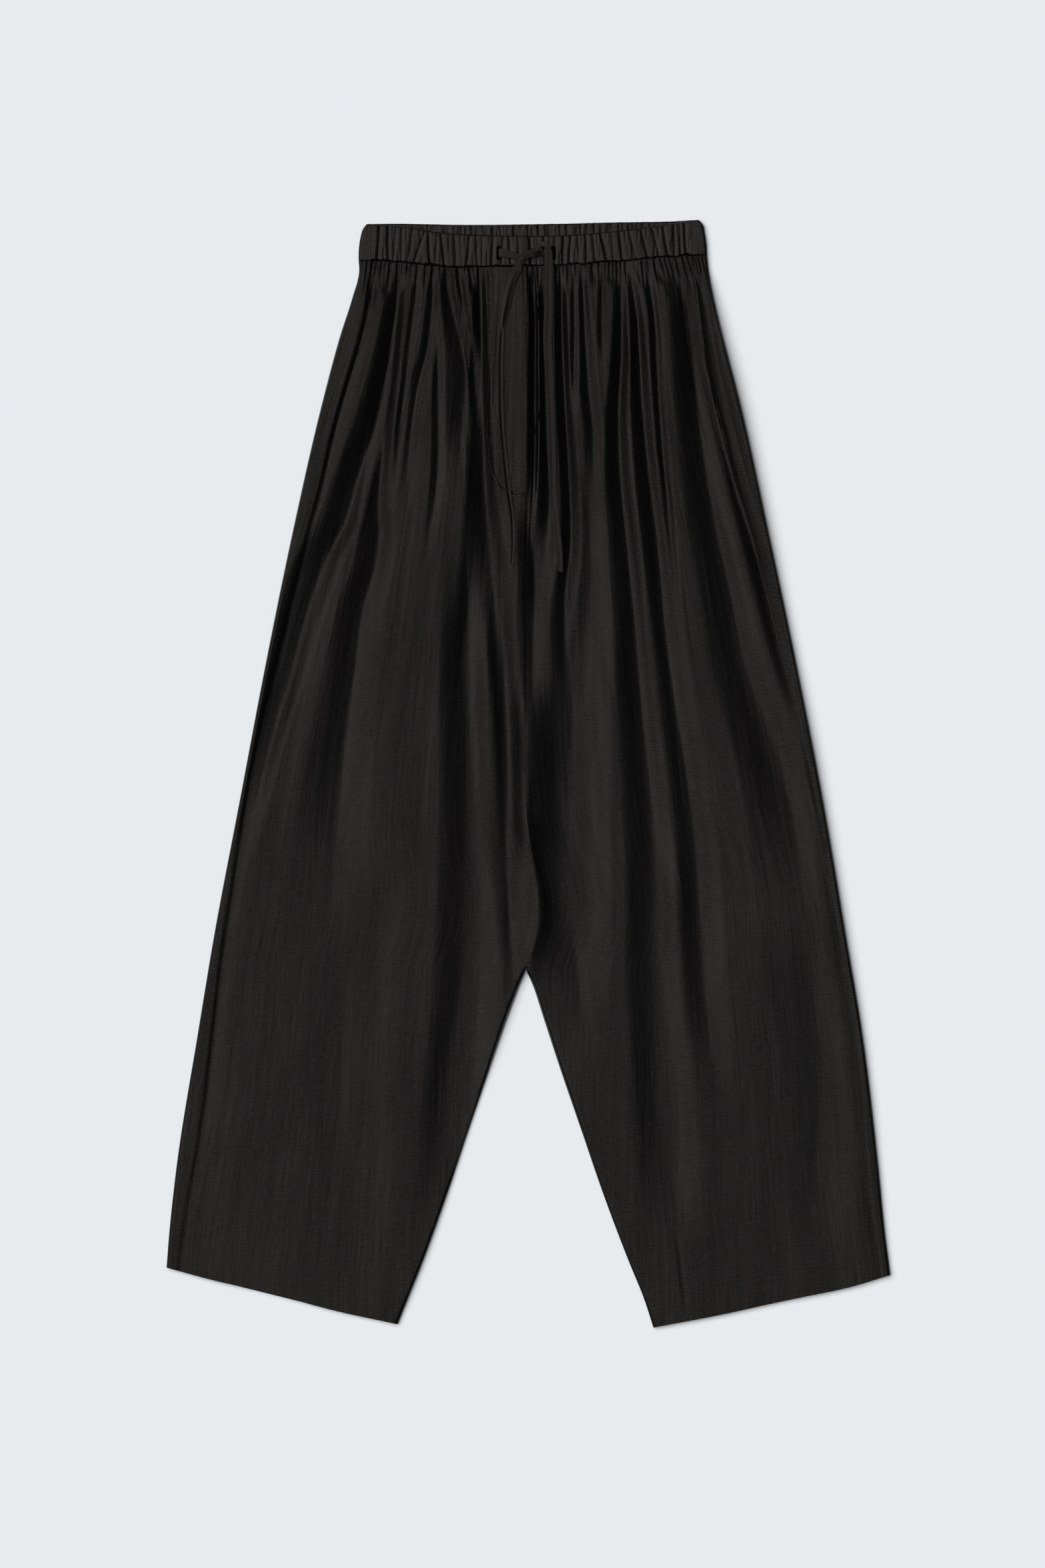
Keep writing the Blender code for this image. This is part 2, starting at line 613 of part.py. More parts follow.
def front_rows(leg):
    """x, y and shares across of the front panel's rows, from the inner edge to the side seam."""
    inset = SEAM_GAP / 2
    start = float(low_front(centre_front(height_of(FRONT_MIDDLE_DOWN)))) - SEAM_GAP
    top_outer_x = float(leg.outline(height_of(WAIST_END_DOWN)))
    waist_outer = float(low_front(top_outer_x)) - SEAM_GAP
    inner_y, outer_y, shares = level_heights(leg, start, waist_outer)
    start_x = float(centre_front(start))

    def chord(x):
        return start + (x - start_x) / (top_outer_x - start_x) * (waist_outer - start)

    rows = []
    for inner, outer, share in zip(inner_y, outer_y, shares):
        x_in = float(inner_edge(leg, inner, centre_front))
        x_out = float(leg.outline(outer))
        x_seam = float(leg.side_seam(outer))
        for _ in range(SETTLING_TURNS):
            x_seam = float(leg.side_seam(inner + (x_seam - x_in) / (x_out - x_in) * (outer - inner)))
        x_in += leg.outer_sign * inset
        x_seam -= leg.outer_sign * inset
        count = round(WAIST_COLUMNS + (HEM_COLUMNS - WAIST_COLUMNS) * share**0.5)
        beside_fly = leg.name == "right" and inner >= height_of(FLY_LAST_LEVEL) - LEVEL_SLACK
        if beside_fly:
            x_fly = float(from_photo(((FLY_LINE_ACROSS, 0),))[0, 0])
            rest = count - 2 * FLY_COLUMNS
            shares_across = joined_runs(0, FLY_SHARE, 1, rest)
            x = joined_runs(x_in, x_fly, x_seam, rest)
        else:
            shares_across = np.linspace(0, 1, count)
            x = np.linspace(x_in, x_seam, count)
        y = inner + (x - x_in) / (x_out - x_in) * (outer - inner)
        y = bent_row(x, y, share, lambda place: low_front(place) - SEAM_GAP, chord, leg)
        at_fly_foot = beside_fly and inner < height_of(FLY_LAST_LEVEL) + LEVEL_SLACK
        shares_below = (x - x[0]) / (x[-1] - x[0]) if at_fly_foot else shares_across
        rows.append((x, y, (shares_across, shares_below)))
    return rows


def make_front(leg, material):
    """The front of one leg, from the waist seam to the hem, with its gathers on both faces."""
    rows = front_rows(leg)
    outer = [row_of(x, y, front_top(x, y), *shares) for x, y, shares in rows]
    inner = [row_of(x, y, front_under(x, y), *shares) for x, y, shares in rows]
    points, faces = wall_faces(outer, inner)
    add_solid(f"front_{leg.name}", points, faces, material)
    return rows


def make_fly(rows, material):
    """The fly placket: the front panel's own points moved out, up to the column nearest its curved edge."""
    outer = []
    inner = []
    for panel_x, panel_y, _ in rows:
        if panel_y[0] < height_of(FLY_LAST_LEVEL) - LEVEL_SLACK:
            continue
        panel_x = panel_x[: FLY_COLUMNS + 1]
        panel_y = panel_y[: FLY_COLUMNS + 1]
        half_column = (panel_x[0] - panel_x[1]) / 2
        kept = panel_x >= fly_edge(panel_y) - half_column
        x, y = panel_x[kept], panel_y[kept]
        z = front_top(x, y)
        shares = np.arange(len(x)) / FLY_COLUMNS
        inner.append(row_of(x, y, z + SEAM_GAP, shares))
        outer.append(row_of(x, y, z + SEAM_GAP + PLACKET_WALL, shares))
    for sheet in (outer, inner):
        sheet[0].places[:, 1] -= PLACKET_BELOW_SEAM
    points, faces = wall_faces(outer, inner)
    add_solid("fly_placket", points, faces, material)


def side_section(x_in, x_edge, seam, sign, columns, y_of, top_of, thick, wall):
    """Outer and inner rows of a layer that lies flat, turns up round the side and ends at the side seam.

    seam is the (x, y) where the turned-up part ends, and y_of gives y along the flat part. The last value is
    the number of places before the turned-up part.
    """
    roll = SIDE_ROLL if wall == CLOTH else BAND_ROLL
    turn = x_edge - sign * roll
    flat = np.linspace(x_in, turn, columns + 1)
    angles = np.linspace(-0.5 * math.pi, 0.5 * math.pi, ROLL_POINTS + 2)[1:-1]
    wrap = np.linspace(turn, seam[0], WRAP_COLUMNS + 1)
    y_turn = float(y_of(np.array([turn]))[0])
    wrap_y = y_turn + (wrap - turn) / (seam[0] - turn) * (seam[1] - y_turn)
    high = float(top_of(np.array([turn]), np.array([y_turn]))[0])
    outer_x = np.concatenate((flat, turn + sign * roll * np.cos(angles), wrap))
    inner_x = np.concatenate((flat, turn + sign * (roll - wall) * np.cos(angles), wrap))
    middle = len(flat) + ROLL_POINTS
    outer_y = np.concatenate((y_of(outer_x[:middle]), wrap_y))
    inner_y = np.concatenate((y_of(inner_x[:middle]), wrap_y))
    outer_z = np.zeros(len(outer_x))
    inner_z = np.full(len(inner_x), float(thick))
    rolled = slice(len(flat), middle)
    outer_z[rolled] = high / 2 * (1 + np.sin(angles))
    inner_z[rolled] = (thick + high - wall) / 2 + (high - wall - thick) / 2 * np.sin(angles)
    outer_z[middle:] = top_of(wrap, wrap_y)
    turning = np.linspace(FLAT_SHARE, WRAP_SHARE, ROLL_POINTS + 2)[1:-1]
    flat_shares = np.linspace(0, FLAT_SHARE, columns + 1)
    shares = np.concatenate((flat_shares, turning, np.linspace(WRAP_SHARE, 1, WRAP_COLUMNS + 1)))
    return row_of(outer_x, outer_y, outer_z, shares), row_of(inner_x, inner_y, inner_z, shares), middle


def make_back(leg, front, material):
    """The back of one leg: flat below, gathered under the waist and turned round the side to the front."""
    inset = SEAM_GAP / 2
    sign = leg.outer_sign
    start_x = float(centre_back(height_of(BACK_MIDDLE_DOWN)))
    start = float(low_back(start_x)) - SEAM_GAP
    edge_x = float(leg.outline(height_of(WAIST_END_DOWN)))
    waist_outer = float(low_back(edge_x)) - SEAM_GAP
    inner_y, outer_y, shares = level_heights(leg, start, waist_outer)

    def chord(x):
        return start + (x - start_x) / (edge_x - start_x) * (waist_outer - start)

    outer = []
    inner = []
    for y_in, y_out, share, front_row in zip(inner_y, outer_y, shares, front):
        x_in = float(inner_edge(leg, y_in, centre_back)) + sign * inset
        x_edge = float(leg.outline(y_out))
        seam = (front_row[0][-1] + sign * SEAM_GAP, front_row[1][-1])

        def y_of(x, x_in=x_in, x_edge=x_edge, y_in=y_in, y_out=y_out, share=share):
            line = y_in + (x - x_in) / (x_edge - x_in) * (y_out - y_in)
            return bent_row(x, line, share, lambda place: low_back(place) - SEAM_GAP, chord, leg)

        gathered = y_in > height_of(BACK_GATHER_END)
        columns = GATHER_COLUMNS * BACK_GATHERS if gathered else BACK_COLUMNS
        thick = float(back_thickness(y_in))
        below, _, _ = side_section(x_in, x_edge, seam, sign, columns, y_of, front_top, thick, CLOTH)
        if gathered:
            raised = np.arange(columns) % GATHER_COLUMNS == 1
            below.places[:columns, 2][raised] = thick - CLOTH
        outer.append(below)
        _, above, middle = side_section(x_in, x_edge, seam, sign, BACK_COLUMNS, y_of, front_top, thick, CLOTH)
        wrapped = above.places[middle:]
        wrapped[:, 2] = front_under(wrapped[:, 0], wrapped[:, 1])
        inner.append(above)
    points, faces = wall_faces(outer, inner)
    add_solid(f"back_{leg.name}", points, faces, material)


def crease_columns(places):
    """The places across of each pucker: its crease and two points of its crown."""
    columns = []
    for left, right in zip(places[:-1], places[1:]):
        columns += [left, left + CROWN_START * (right - left), left + (1 - CROWN_START) * (right - left)]
    return np.array(columns + [places[-1]])


def make_front_band(material):
    """The front of the ruched waistband, with its puckers raised over a plain inside."""
    right_end = float(from_photo((BAND_SEAM_RIGHT,))[0, 0]) + SEAM_GAP / 2
    left_end = float(from_photo((BAND_SEAM_LEFT,))[0, 0]) - SEAM_GAP / 2
    tops = from_photo([(crease.across_top, 0) for crease in FRONT_CREASES])[:, 0]
    lows = from_photo([(crease.across_low, 0) for crease in FRONT_CREASES])[:, 0]
    outer = []
    inner = []
    for share in FRONT_BAND_ROWS:
        creases = lows + share * (tops - lows)
        places = np.concatenate(([right_end], creases, [left_end]))
        x = crease_columns(places)
        widths = np.repeat(np.diff(places), 3)
        crown = np.zeros(len(x))
        rise = np.minimum(widths * PUCKER_SLOPE, PUCKER_MOST)
        crown[:-1] = np.where(np.arange(len(widths)) % 3 == 0, 0, rise)
        y = low_front(x) + share * (high_front(x) - low_front(x))
        z = BAND_TOP + crown * (EDGE_CROWN if share in (0.0, 1.0) else 1.0)
        outer.append(row_of(x, y, z))
        plain_x = np.linspace(right_end, left_end, PLAIN_COLUMNS)
        plain_y = low_front(plain_x) + share * (high_front(plain_x) - low_front(plain_x))
        inner.append(row_of(plain_x, plain_y, np.full(len(plain_x), BAND_WALL + SEAM_GAP)))
    points, faces = wall_faces(outer, inner)
    band = add_solid("waistband_front", points, faces, material)
    for name, route in (("slot_right", TAPE_TO_RIGHT), ("slot_left", TAPE_TO_LEFT)):
        cut_slot(band, name, slot_place(route))


def slot_place(route):
    """Middle of the buttonhole that a tape comes out of, just outside the tape's first point."""
    first, second = route[0], route[1]
    x, y = from_photo(((first.across, first.down),))[0]
    return (x - SLOT_ASIDE if second.across > first.across else x + SLOT_ASIDE), y


def cut_slot(band, name, place):
    """Cuts one upright buttonhole through the band."""
    x, y = place
    bpy.ops.mesh.primitive_cube_add(size=1, location=(x * METRES, y * METRES, BAND_WALL * 2 * METRES))
    cutter = bpy.context.object
    cutter.name = name
    cutter.scale = (SLOT_WIDTH * METRES, SLOT_HEIGHT * METRES, 4 * BAND_WALL * METRES)
    cutter.hide_render = True
    cutter.display_type = "WIRE"
    cut = band.modifiers.new(name, "BOOLEAN")
    cut.operation = "DIFFERENCE"
    cut.object = cutter


def joined_halves(right, left):
    """One row across the whole back from the rows of its two halves, which both start at the middle."""
    places = np.concatenate((right.places[::-1], left.places[1:]))
    shares = np.concatenate((0.5 - 0.5 * right.shares[::-1], 0.5 + 0.5 * left.shares[1:]))
    return Row(places, shares, shares)


def make_back_band(material):
    """The back of the waistband: flat below, creased inside, turned round both ends to the side seams."""
    right_seam = float(from_photo((BAND_SEAM_RIGHT,))[0, 0]) - SEAM_GAP / 2
    left_seam = float(from_photo((BAND_SEAM_LEFT,))[0, 0]) + SEAM_GAP / 2
    shares = [row.share for row in BAND_ENDS]
    right_edge = smooth_through(shares, from_photo([(row.right_across, 0) for row in BAND_ENDS])[:, 0])
    left_edge = smooth_through(shares, from_photo([(row.left_across, 0) for row in BAND_ENDS])[:, 0])
    outer = []
    inner = []
    for share in BACK_BAND_ROWS:
        ends = ((float(right_edge(share)), right_seam, -1), (float(left_edge(share)), left_seam, 1))
        half_outer = []
        half_inner = []
        for x_edge, x_seam, sign in ends:
            seam = (x_seam, float(low_front(x_seam) + share * (high_front(x_seam) - low_front(x_seam))))

            def y_of(x, share=share):
                return low_back(x) + share * (high_back(x) - low_back(x))

            def top_of(x, y):
                return np.full(len(x), BAND_TOP)

            plain = PLAIN_COLUMNS // 2
            below, _, _ = side_section(0, x_edge, seam, sign, plain, y_of, top_of, BAND_WALL, BAND_WALL)
            creased = 3 * (BACK_CREASES // 2)
            section = side_section(0, x_edge, seam, sign, creased, y_of, top_of, BAND_WALL, BAND_WALL)
            _, above, middle = section
            numbers = np.arange(creased)
            crease = numbers % 3 == 1
            uneven = CREASE_UNEVEN * (np.sin(CREASE_TURN * numbers[crease]) - 1)
            above.places[:creased, 2][crease] -= BACK_CREASE_DEPTH * (1 + uneven)
            above.places[middle:, 2] = BAND_WALL + SEAM_GAP
            half_outer.append(below)
            half_inner.append(above)
        outer.append(joined_halves(*half_outer))
        inner.append(joined_halves(*half_inner))
    points, faces = wall_faces(outer, inner)
    add_solid("waistband_back", points, faces, material)


def resting_height(x, y):
    """Upper face of whatever the tape lies on: waistband, placket or front."""
    on_panel = front_top(x, y)
    across_placket = (x < centre_front(y) + PLACKET_MARGIN) & (x > fly_edge(y) - PLACKET_MARGIN)
    above_foot = y > height_of(FLY_LAST_LEVEL) - PLACKET_MARGIN
    on_panel = on_panel + np.where(across_placket & above_foot, SEAM_GAP + PLACKET_WALL, 0)
    on_band = y > low_front(x) - PLACKET_MARGIN
    return np.where(on_band, np.maximum(BAND_TOP + PUCKER_MOST, on_panel), on_panel)


def tape_path(route):
    """The places of a tape's middle, its widths and its sideways directions, from buttonhole to free end."""
    places = from_photo([(row.across, row.down) for row in route])
    gone = np.concatenate(([0], np.cumsum(np.linalg.norm(np.diff(places, axis=0), axis=1))))
    knot_end = gone[KNOT_ROWS]
    tail_steps = round((gone[-1] - knot_end) / TAPE_STEP)
    at = np.concatenate((np.arange(0, knot_end, KNOT_STEP), np.linspace(knot_end, gone[-1], tail_steps + 1)))
    x = smooth_through(gone, places[:, 0])(at)
    y = smooth_through(gone, places[:, 1])(at)
    width = smooth_through(gone, [row.width for row in route])(at)
    level = smooth_through(gone, [row.level for row in route])(at)
    ahead = np.column_stack((np.gradient(x, at), np.gradient(y, at)))
    ahead /= np.linalg.norm(ahead, axis=1)[:, None]
    side = np.column_stack((-ahead[:, 1], ahead[:, 0]))
    reach = np.linspace(-1, 1, TAPE_SAMPLES)[:, None] * (width / 2 + TAPE_MARGIN)
    under = resting_height(x + reach * side[:, 0], y + reach * side[:, 1]).max(axis=0)
    highest = np.array([under[np.abs(at - place) <= TAPE_BRIDGE].max() for place in at])
    settled = np.array([highest[np.abs(at - place) <= TAPE_BRIDGE].mean() for place in at])
    middle = np.column_stack((x, y, settled + SEAM_GAP + TAPE_WALL / 2 + level))
    return middle, width, side


def section(middle, flat, thin):
    """The four corners of a flat tape's section."""
    return [middle - flat - thin, middle + flat - thin, middle + flat + thin, middle - flat + thin]


def make_tape(name, route, material):
    """One flat tape of the drawstring: up its buttonhole, across the knot and down to its free end."""
    middles, widths, sides = tape_path(route)
    slot_x, slot_y = slot_place(route)
    toward = 1 if route[1].across > route[0].across else -1
    half = TAPE_WALL / 2
    upright = np.array((0, SLOT_TAPE_WIDTH / 2, 0))
    first_height = middles[0, 2]
    points = []
    for up in (SLOT_DEEP, first_height - TURN_START):
        points += section(np.array((slot_x, slot_y, up)), upright, np.array((toward * half, 0, 0)))
    turn = np.array((slot_x + toward * TURN_ACROSS, slot_y, first_height - TURN_ACROSS))
    points += section(turn, upright, np.array((toward, 0, -1)) / math.sqrt(2) * half)
    ahead = np.gradient(middles, axis=0)
    for middle, width, side, forward in zip(middles, widths, sides, ahead):
        flat = np.array((*side, 0)) * width / 2 * toward
        thin = np.cross(forward, flat)
        thin *= -half * np.sign(thin[2]) / np.linalg.norm(thin)
        points += section(middle, flat, thin)
    points = [tuple(point) for point in points]
    faces = []
    last = len(points) - 4
    for base in range(0, last, 4):
        for corner in range(4):
            a = base + corner
            b = base + (corner + 1) % 4
            faces += [(a, b, b + 4), (a, b + 4, a + 4)]
    faces += [(0, 2, 1), (0, 3, 2), (last, last + 1, last + 2), (last, last + 2, last + 3)]
    add_solid(name, points, faces, material)


def main():
    """Builds every piece of the pants."""
    clear_scene()
    front = cloth_material("front cloth", (0.016, 0.015, 0.014), 0.5)
    back = cloth_material("back cloth", (0.015, 0.014, 0.014), 0.52)
    band = cloth_material("waistband cloth", (0.019, 0.018, 0.018), 0.48)
    tape = cloth_material("drawstring cloth", (0.024, 0.024, 0.024), 0.45)
    right_rows = make_front(RIGHT_LEG, front)
    left_rows = make_front(LEFT_LEG, front)
    make_back(RIGHT_LEG, right_rows, back)
    make_back(LEFT_LEG, left_rows, back)
    make_fly(right_rows, front)
    make_front_band(band)
    make_back_band(band)
    make_tape("drawstring_to_right", TAPE_TO_RIGHT, tape)
    make_tape("drawstring_to_left", TAPE_TO_LEFT, tape)


main()
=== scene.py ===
import math
from collections import namedtuple

import bpy
import numpy as np
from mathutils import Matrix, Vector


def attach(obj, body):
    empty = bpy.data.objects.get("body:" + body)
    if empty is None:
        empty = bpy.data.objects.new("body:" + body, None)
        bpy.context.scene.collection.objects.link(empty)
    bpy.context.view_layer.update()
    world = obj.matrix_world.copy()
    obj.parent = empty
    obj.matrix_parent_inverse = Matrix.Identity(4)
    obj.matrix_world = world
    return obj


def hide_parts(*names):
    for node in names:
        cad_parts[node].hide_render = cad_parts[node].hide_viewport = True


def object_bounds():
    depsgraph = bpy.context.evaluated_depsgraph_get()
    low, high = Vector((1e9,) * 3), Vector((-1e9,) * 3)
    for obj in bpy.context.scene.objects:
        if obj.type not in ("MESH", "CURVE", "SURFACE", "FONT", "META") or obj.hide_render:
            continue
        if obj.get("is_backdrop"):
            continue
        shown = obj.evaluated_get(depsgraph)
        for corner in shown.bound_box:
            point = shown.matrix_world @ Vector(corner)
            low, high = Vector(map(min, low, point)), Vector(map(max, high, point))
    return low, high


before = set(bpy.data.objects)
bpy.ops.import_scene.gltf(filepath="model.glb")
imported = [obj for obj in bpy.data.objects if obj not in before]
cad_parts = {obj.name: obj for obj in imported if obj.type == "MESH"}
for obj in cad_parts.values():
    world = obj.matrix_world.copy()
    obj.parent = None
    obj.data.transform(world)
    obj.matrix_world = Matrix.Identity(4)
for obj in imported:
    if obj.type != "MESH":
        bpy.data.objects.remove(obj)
cad_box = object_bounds()

# Sizes are in millimetres until a mesh is made. +X is the wearer's left, +Y the waist and +Z up, and the
# cloth lies on the plane z = 0. Places in the photograph are columns named across and down, in its pixels.
PIXEL = 0.65
MIDDLE_ACROSS = 793.0
MIDDLE_DOWN = 1160.75
METRES = 0.001

# Frame of the photograph: its middle and its long side in pixels
PHOTO_MIDDLE = (784.0, 1176.0)
PHOTO_LONG_SIDE = 2352
CAMERA_HEIGHT = 8000.0
SENSOR = 36.0
FLOOR_LEVEL = -0.2

# Thicknesses and clearances
CLOTH = 1.2
GATHERED_BACK = 1.2
BAND_WALL = 2.4
TAPE_WALL = 1.0
PLACKET_WALL = 0.9
SEAM_GAP = 0.3


def rows_of(kind, rows):
    """Rows of numbers as rows with named values."""
    return tuple(kind(*row) for row in rows)


# Loft of the front over the layers below it, from the waist seam to the hem
Loft = namedtuple("Loft", "down height")
LOFT = rows_of(Loft, (
    (400, 1.2), (418, 3.6), (448, 6.6), (520, 9.2), (700, 9.6), (900, 8.8), (1100, 7.8), (1300, 6.8),
    (1450, 6.0), (1600, 4.8), (1750, 3.6), (1900, 2.6), (1992, 2.1),
))
SOFT_FLOOR = 1.6
SLOPE_STEP = 0.5
STEEPEST = 2.6
INSEAM_ROLL = 9.0
ROLL_START_ABOVE = 6.0
ROLL_START_LENGTH = 24.0
SIDE_ROLL = 3.2

# The pressed side seam: its groove's width on each side and its depth, at most a share of the loft
GROOVE_OUTSIDE = 2.6
GROOVE_INSIDE = 6.5
GROOVE_DEPTH = 2.4
GROOVE_SHARE = 0.45

# Outlines and seams as (across, down) in the photograph
OUTLINE_RIGHT = (
    (538, 392), (539, 402), (528, 450), (512, 500), (485, 600), (439, 800), (398, 1000), (360, 1200),
    (322, 1400), (297, 1550), (265, 1750), (254, 1850), (250, 1901),
)
OUTLINE_LEFT = (
    (1061, 384), (1063, 402), (1072, 450), (1084, 500), (1110, 600), (1154, 800), (1196, 1000),
    (1235, 1200), (1269, 1400), (1294, 1550), (1318, 1750), (1328, 1850), (1336, 1912),
)
SIDE_SEAM_RIGHT = (
    (556, 392), (551, 470), (540, 518), (521, 581), (504, 643), (484, 730), (452, 850), (420, 980),
    (378, 1160), (353, 1320), (334, 1440), (320, 1560), (299, 1720), (284, 1800), (269, 1902),
)
SIDE_SEAM_LEFT = (
    (1037, 385), (1048, 477), (1064, 568), (1089, 668), (1101, 715), (1128, 800), (1160, 940), (1183, 1030),
    (1200, 1110), (1222, 1220), (1243, 1320), (1262, 1430), (1283, 1560), (1298, 1720), (1305, 1800),
    (1321, 1914),
)
CENTRE_FRONT = (
    (790.5, 399), (790, 560), (789, 744), (787, 900), (787, 1060), (788, 1160), (791, 1227), (799, 1275),
    (812, 1312), (819, 1350), (817, 1378), (811, 1400), (801, 1424), (789, 1454),
)
CENTRE_BACK = ((793, 378), (789, 1454))
INSEAM_RIGHT = (
    (789, 1454), (779, 1480), (764, 1520), (736, 1600), (702, 1700), (669, 1800), (633, 1900), (597, 1986),
)
INSEAM_LEFT = (
    (789, 1454), (800, 1480), (813, 1520), (839, 1600), (873, 1700), (907, 1800), (945, 1900), (966, 1950),
    (980, 1991),
)
HEM_RIGHT = ((250, 1901), (320, 1920), (400, 1938), (500, 1965), (597, 1986))
HEM_LEFT = ((980, 1991), (1080, 1972), (1180, 1950), (1280, 1929), (1336, 1912))
FLY_EDGE = ((731, 399), (731, 560), (731, 672), (735, 704), (744, 727), (757, 741), (764, 746))

# Waistband edges as (across, down), from the wearer's right to the left
BAND_LOW_FRONT = (
    (536, 392), (600, 394), (666, 401), (720, 401), (793, 400), (831, 398), (899, 395), (948, 390),
    (1017, 385), (1063, 383),
)
BAND_HIGH_FRONT = (
    (536, 337), (570, 337), (624, 343), (659, 349), (700, 352), (780, 354), (839, 353.5), (875, 351.5),
    (938, 345.6), (978, 340.6), (1017, 334.7), (1045, 331), (1063, 331),
)
BAND_LOW_BACK = ((536, 392), (600, 387), (700, 382), (793, 381), (900, 381), (1000, 382), (1063, 383))
BAND_HIGH_BACK = (
    (536, 337), (570, 336), (700, 337.5), (835, 336), (915, 334), (1015, 332), (1045, 330.5), (1063, 331),
)
# Where the folded ends of the band lie, at each share of its height
BandEnd = namedtuple("BandEnd", "share right_across left_across")
BAND_ENDS = rows_of(BandEnd, (
    (0.0, 538.0, 1061.0), (0.35, 538.5, 1060.0), (0.65, 541.0, 1057.5), (0.88, 545.0, 1054.5),
    (1.0, 550.0, 1049.0),
))
BAND_ROLL = 2.7

# Creases between the puckers of the front waistband
Crease = namedtuple("Crease", "across_top across_low")
FRONT_CREASES = rows_of(Crease, (
    (571, 567), (583, 583), (594, 591), (604, 602), (620, 612), (638, 622), (643, 646), (656, 654),
    (662, 668), (682, 684), (692, 693), (705, 701), (714, 717), (724, 724), (740, 738), (756, 752),
    (764, 767), (777, 781), (795, 798), (806, 806), (817, 817), (833, 832), (846, 845), (857, 855),
    (868, 868), (879, 881), (890, 894), (901, 912), (918, 922), (929, 935), (944, 955), (962, 972),
    (978, 990), (995, 1003), (1012, 1013), (1020, 1022), (1027, 1030),
))
# The most that a pucker stands over the band's plain face
PUCKER_MOST = 1.15
# Height of the front band's plain upper face
BAND_TOP = BAND_WALL + SEAM_GAP + BAND_WALL
# Where the band's front and back meet at its ends, across the photograph
BAND_SEAMS = (556, 1037)

# The long troughs of the front. The foot of the shaded slope follows the line, shaded is that slope's width
# in pixels at the top, middle and foot, and rise is the far slope's share of it.
Trough = namedtuple("Trough", "depth shaded rise line")
TROUGHS_RIGHT = (
    Trough(8.6, (13, 39, 24), 0.45, (
        (600, 402), (596, 460), (588, 520), (576, 580), (562, 640), (538, 715), (515, 790), (489, 840),
        (467, 900), (449, 960), (436, 1010), (418, 1070), (402, 1130), (388, 1190), (374, 1250),
        (360, 1320),
    )),
    Trough(6.4, (5, 32, 62), 0.6, (
        (594, 450), (592, 540), (577, 640), (572, 700), (568, 760), (569, 810), (562, 855), (548, 900),
        (532, 1010), (523, 1080), (514, 1150), (508, 1230), (503, 1300), (498, 1400),
    )),
    Trough(2.2, (5, 6, 8), 0.9, ((629, 402), (620, 480), (610, 560), (601, 640), (594, 700), (576, 800))),
    Trough(3.8, (7, 12, 12), 0.8, ((652, 402), (648, 470), (641, 530), (630, 570), (614, 680), (610, 780))),
    Trough(2.4, (5, 8, 8), 0.9, ((657, 440), (657, 520), (658, 640), (655, 730), (636, 850))),
    Trough(6.0, (8, 26, 30), 0.7, (
        (668, 402), (680, 470), (693, 520), (699, 560), (697, 610), (692, 660), (694, 740),
    )),
    Trough(8.8, (26, 46, 48), 0.6, (
        (694, 780), (701, 860), (702, 990), (707, 1120), (711, 1240), (713, 1300), (711, 1400), (706, 1500),
        (697, 1600), (688, 1700), (678, 1800), (668, 1880),
    )),
    Trough(3.4, (5, 9, 8), 0.8, ((688, 402), (697, 470), (708, 520), (712, 570), (716, 650))),
    Trough(9.0, (7, 23, 72), 0.5, (
        (721, 402), (722, 480), (723, 560), (725, 660), (729, 760), (735, 830), (742, 920), (746, 1000),
        (748, 1080),
    )),
    Trough(6.6, (18, 26, 16), 0.7, (
        (742, 860), (752, 940), (759, 1060), (762, 1180), (760, 1280), (764, 1370), (769, 1460),
        (764, 1540),
    )),
    Trough(1.6, (40, 60, 60), 0.8, ((512, 1400), (512, 1600), (516, 1760), (520, 1900))),
    Trough(1.0, (30, 36, 36), 0.8, ((572, 1300), (566, 1450), (562, 1600))),
)
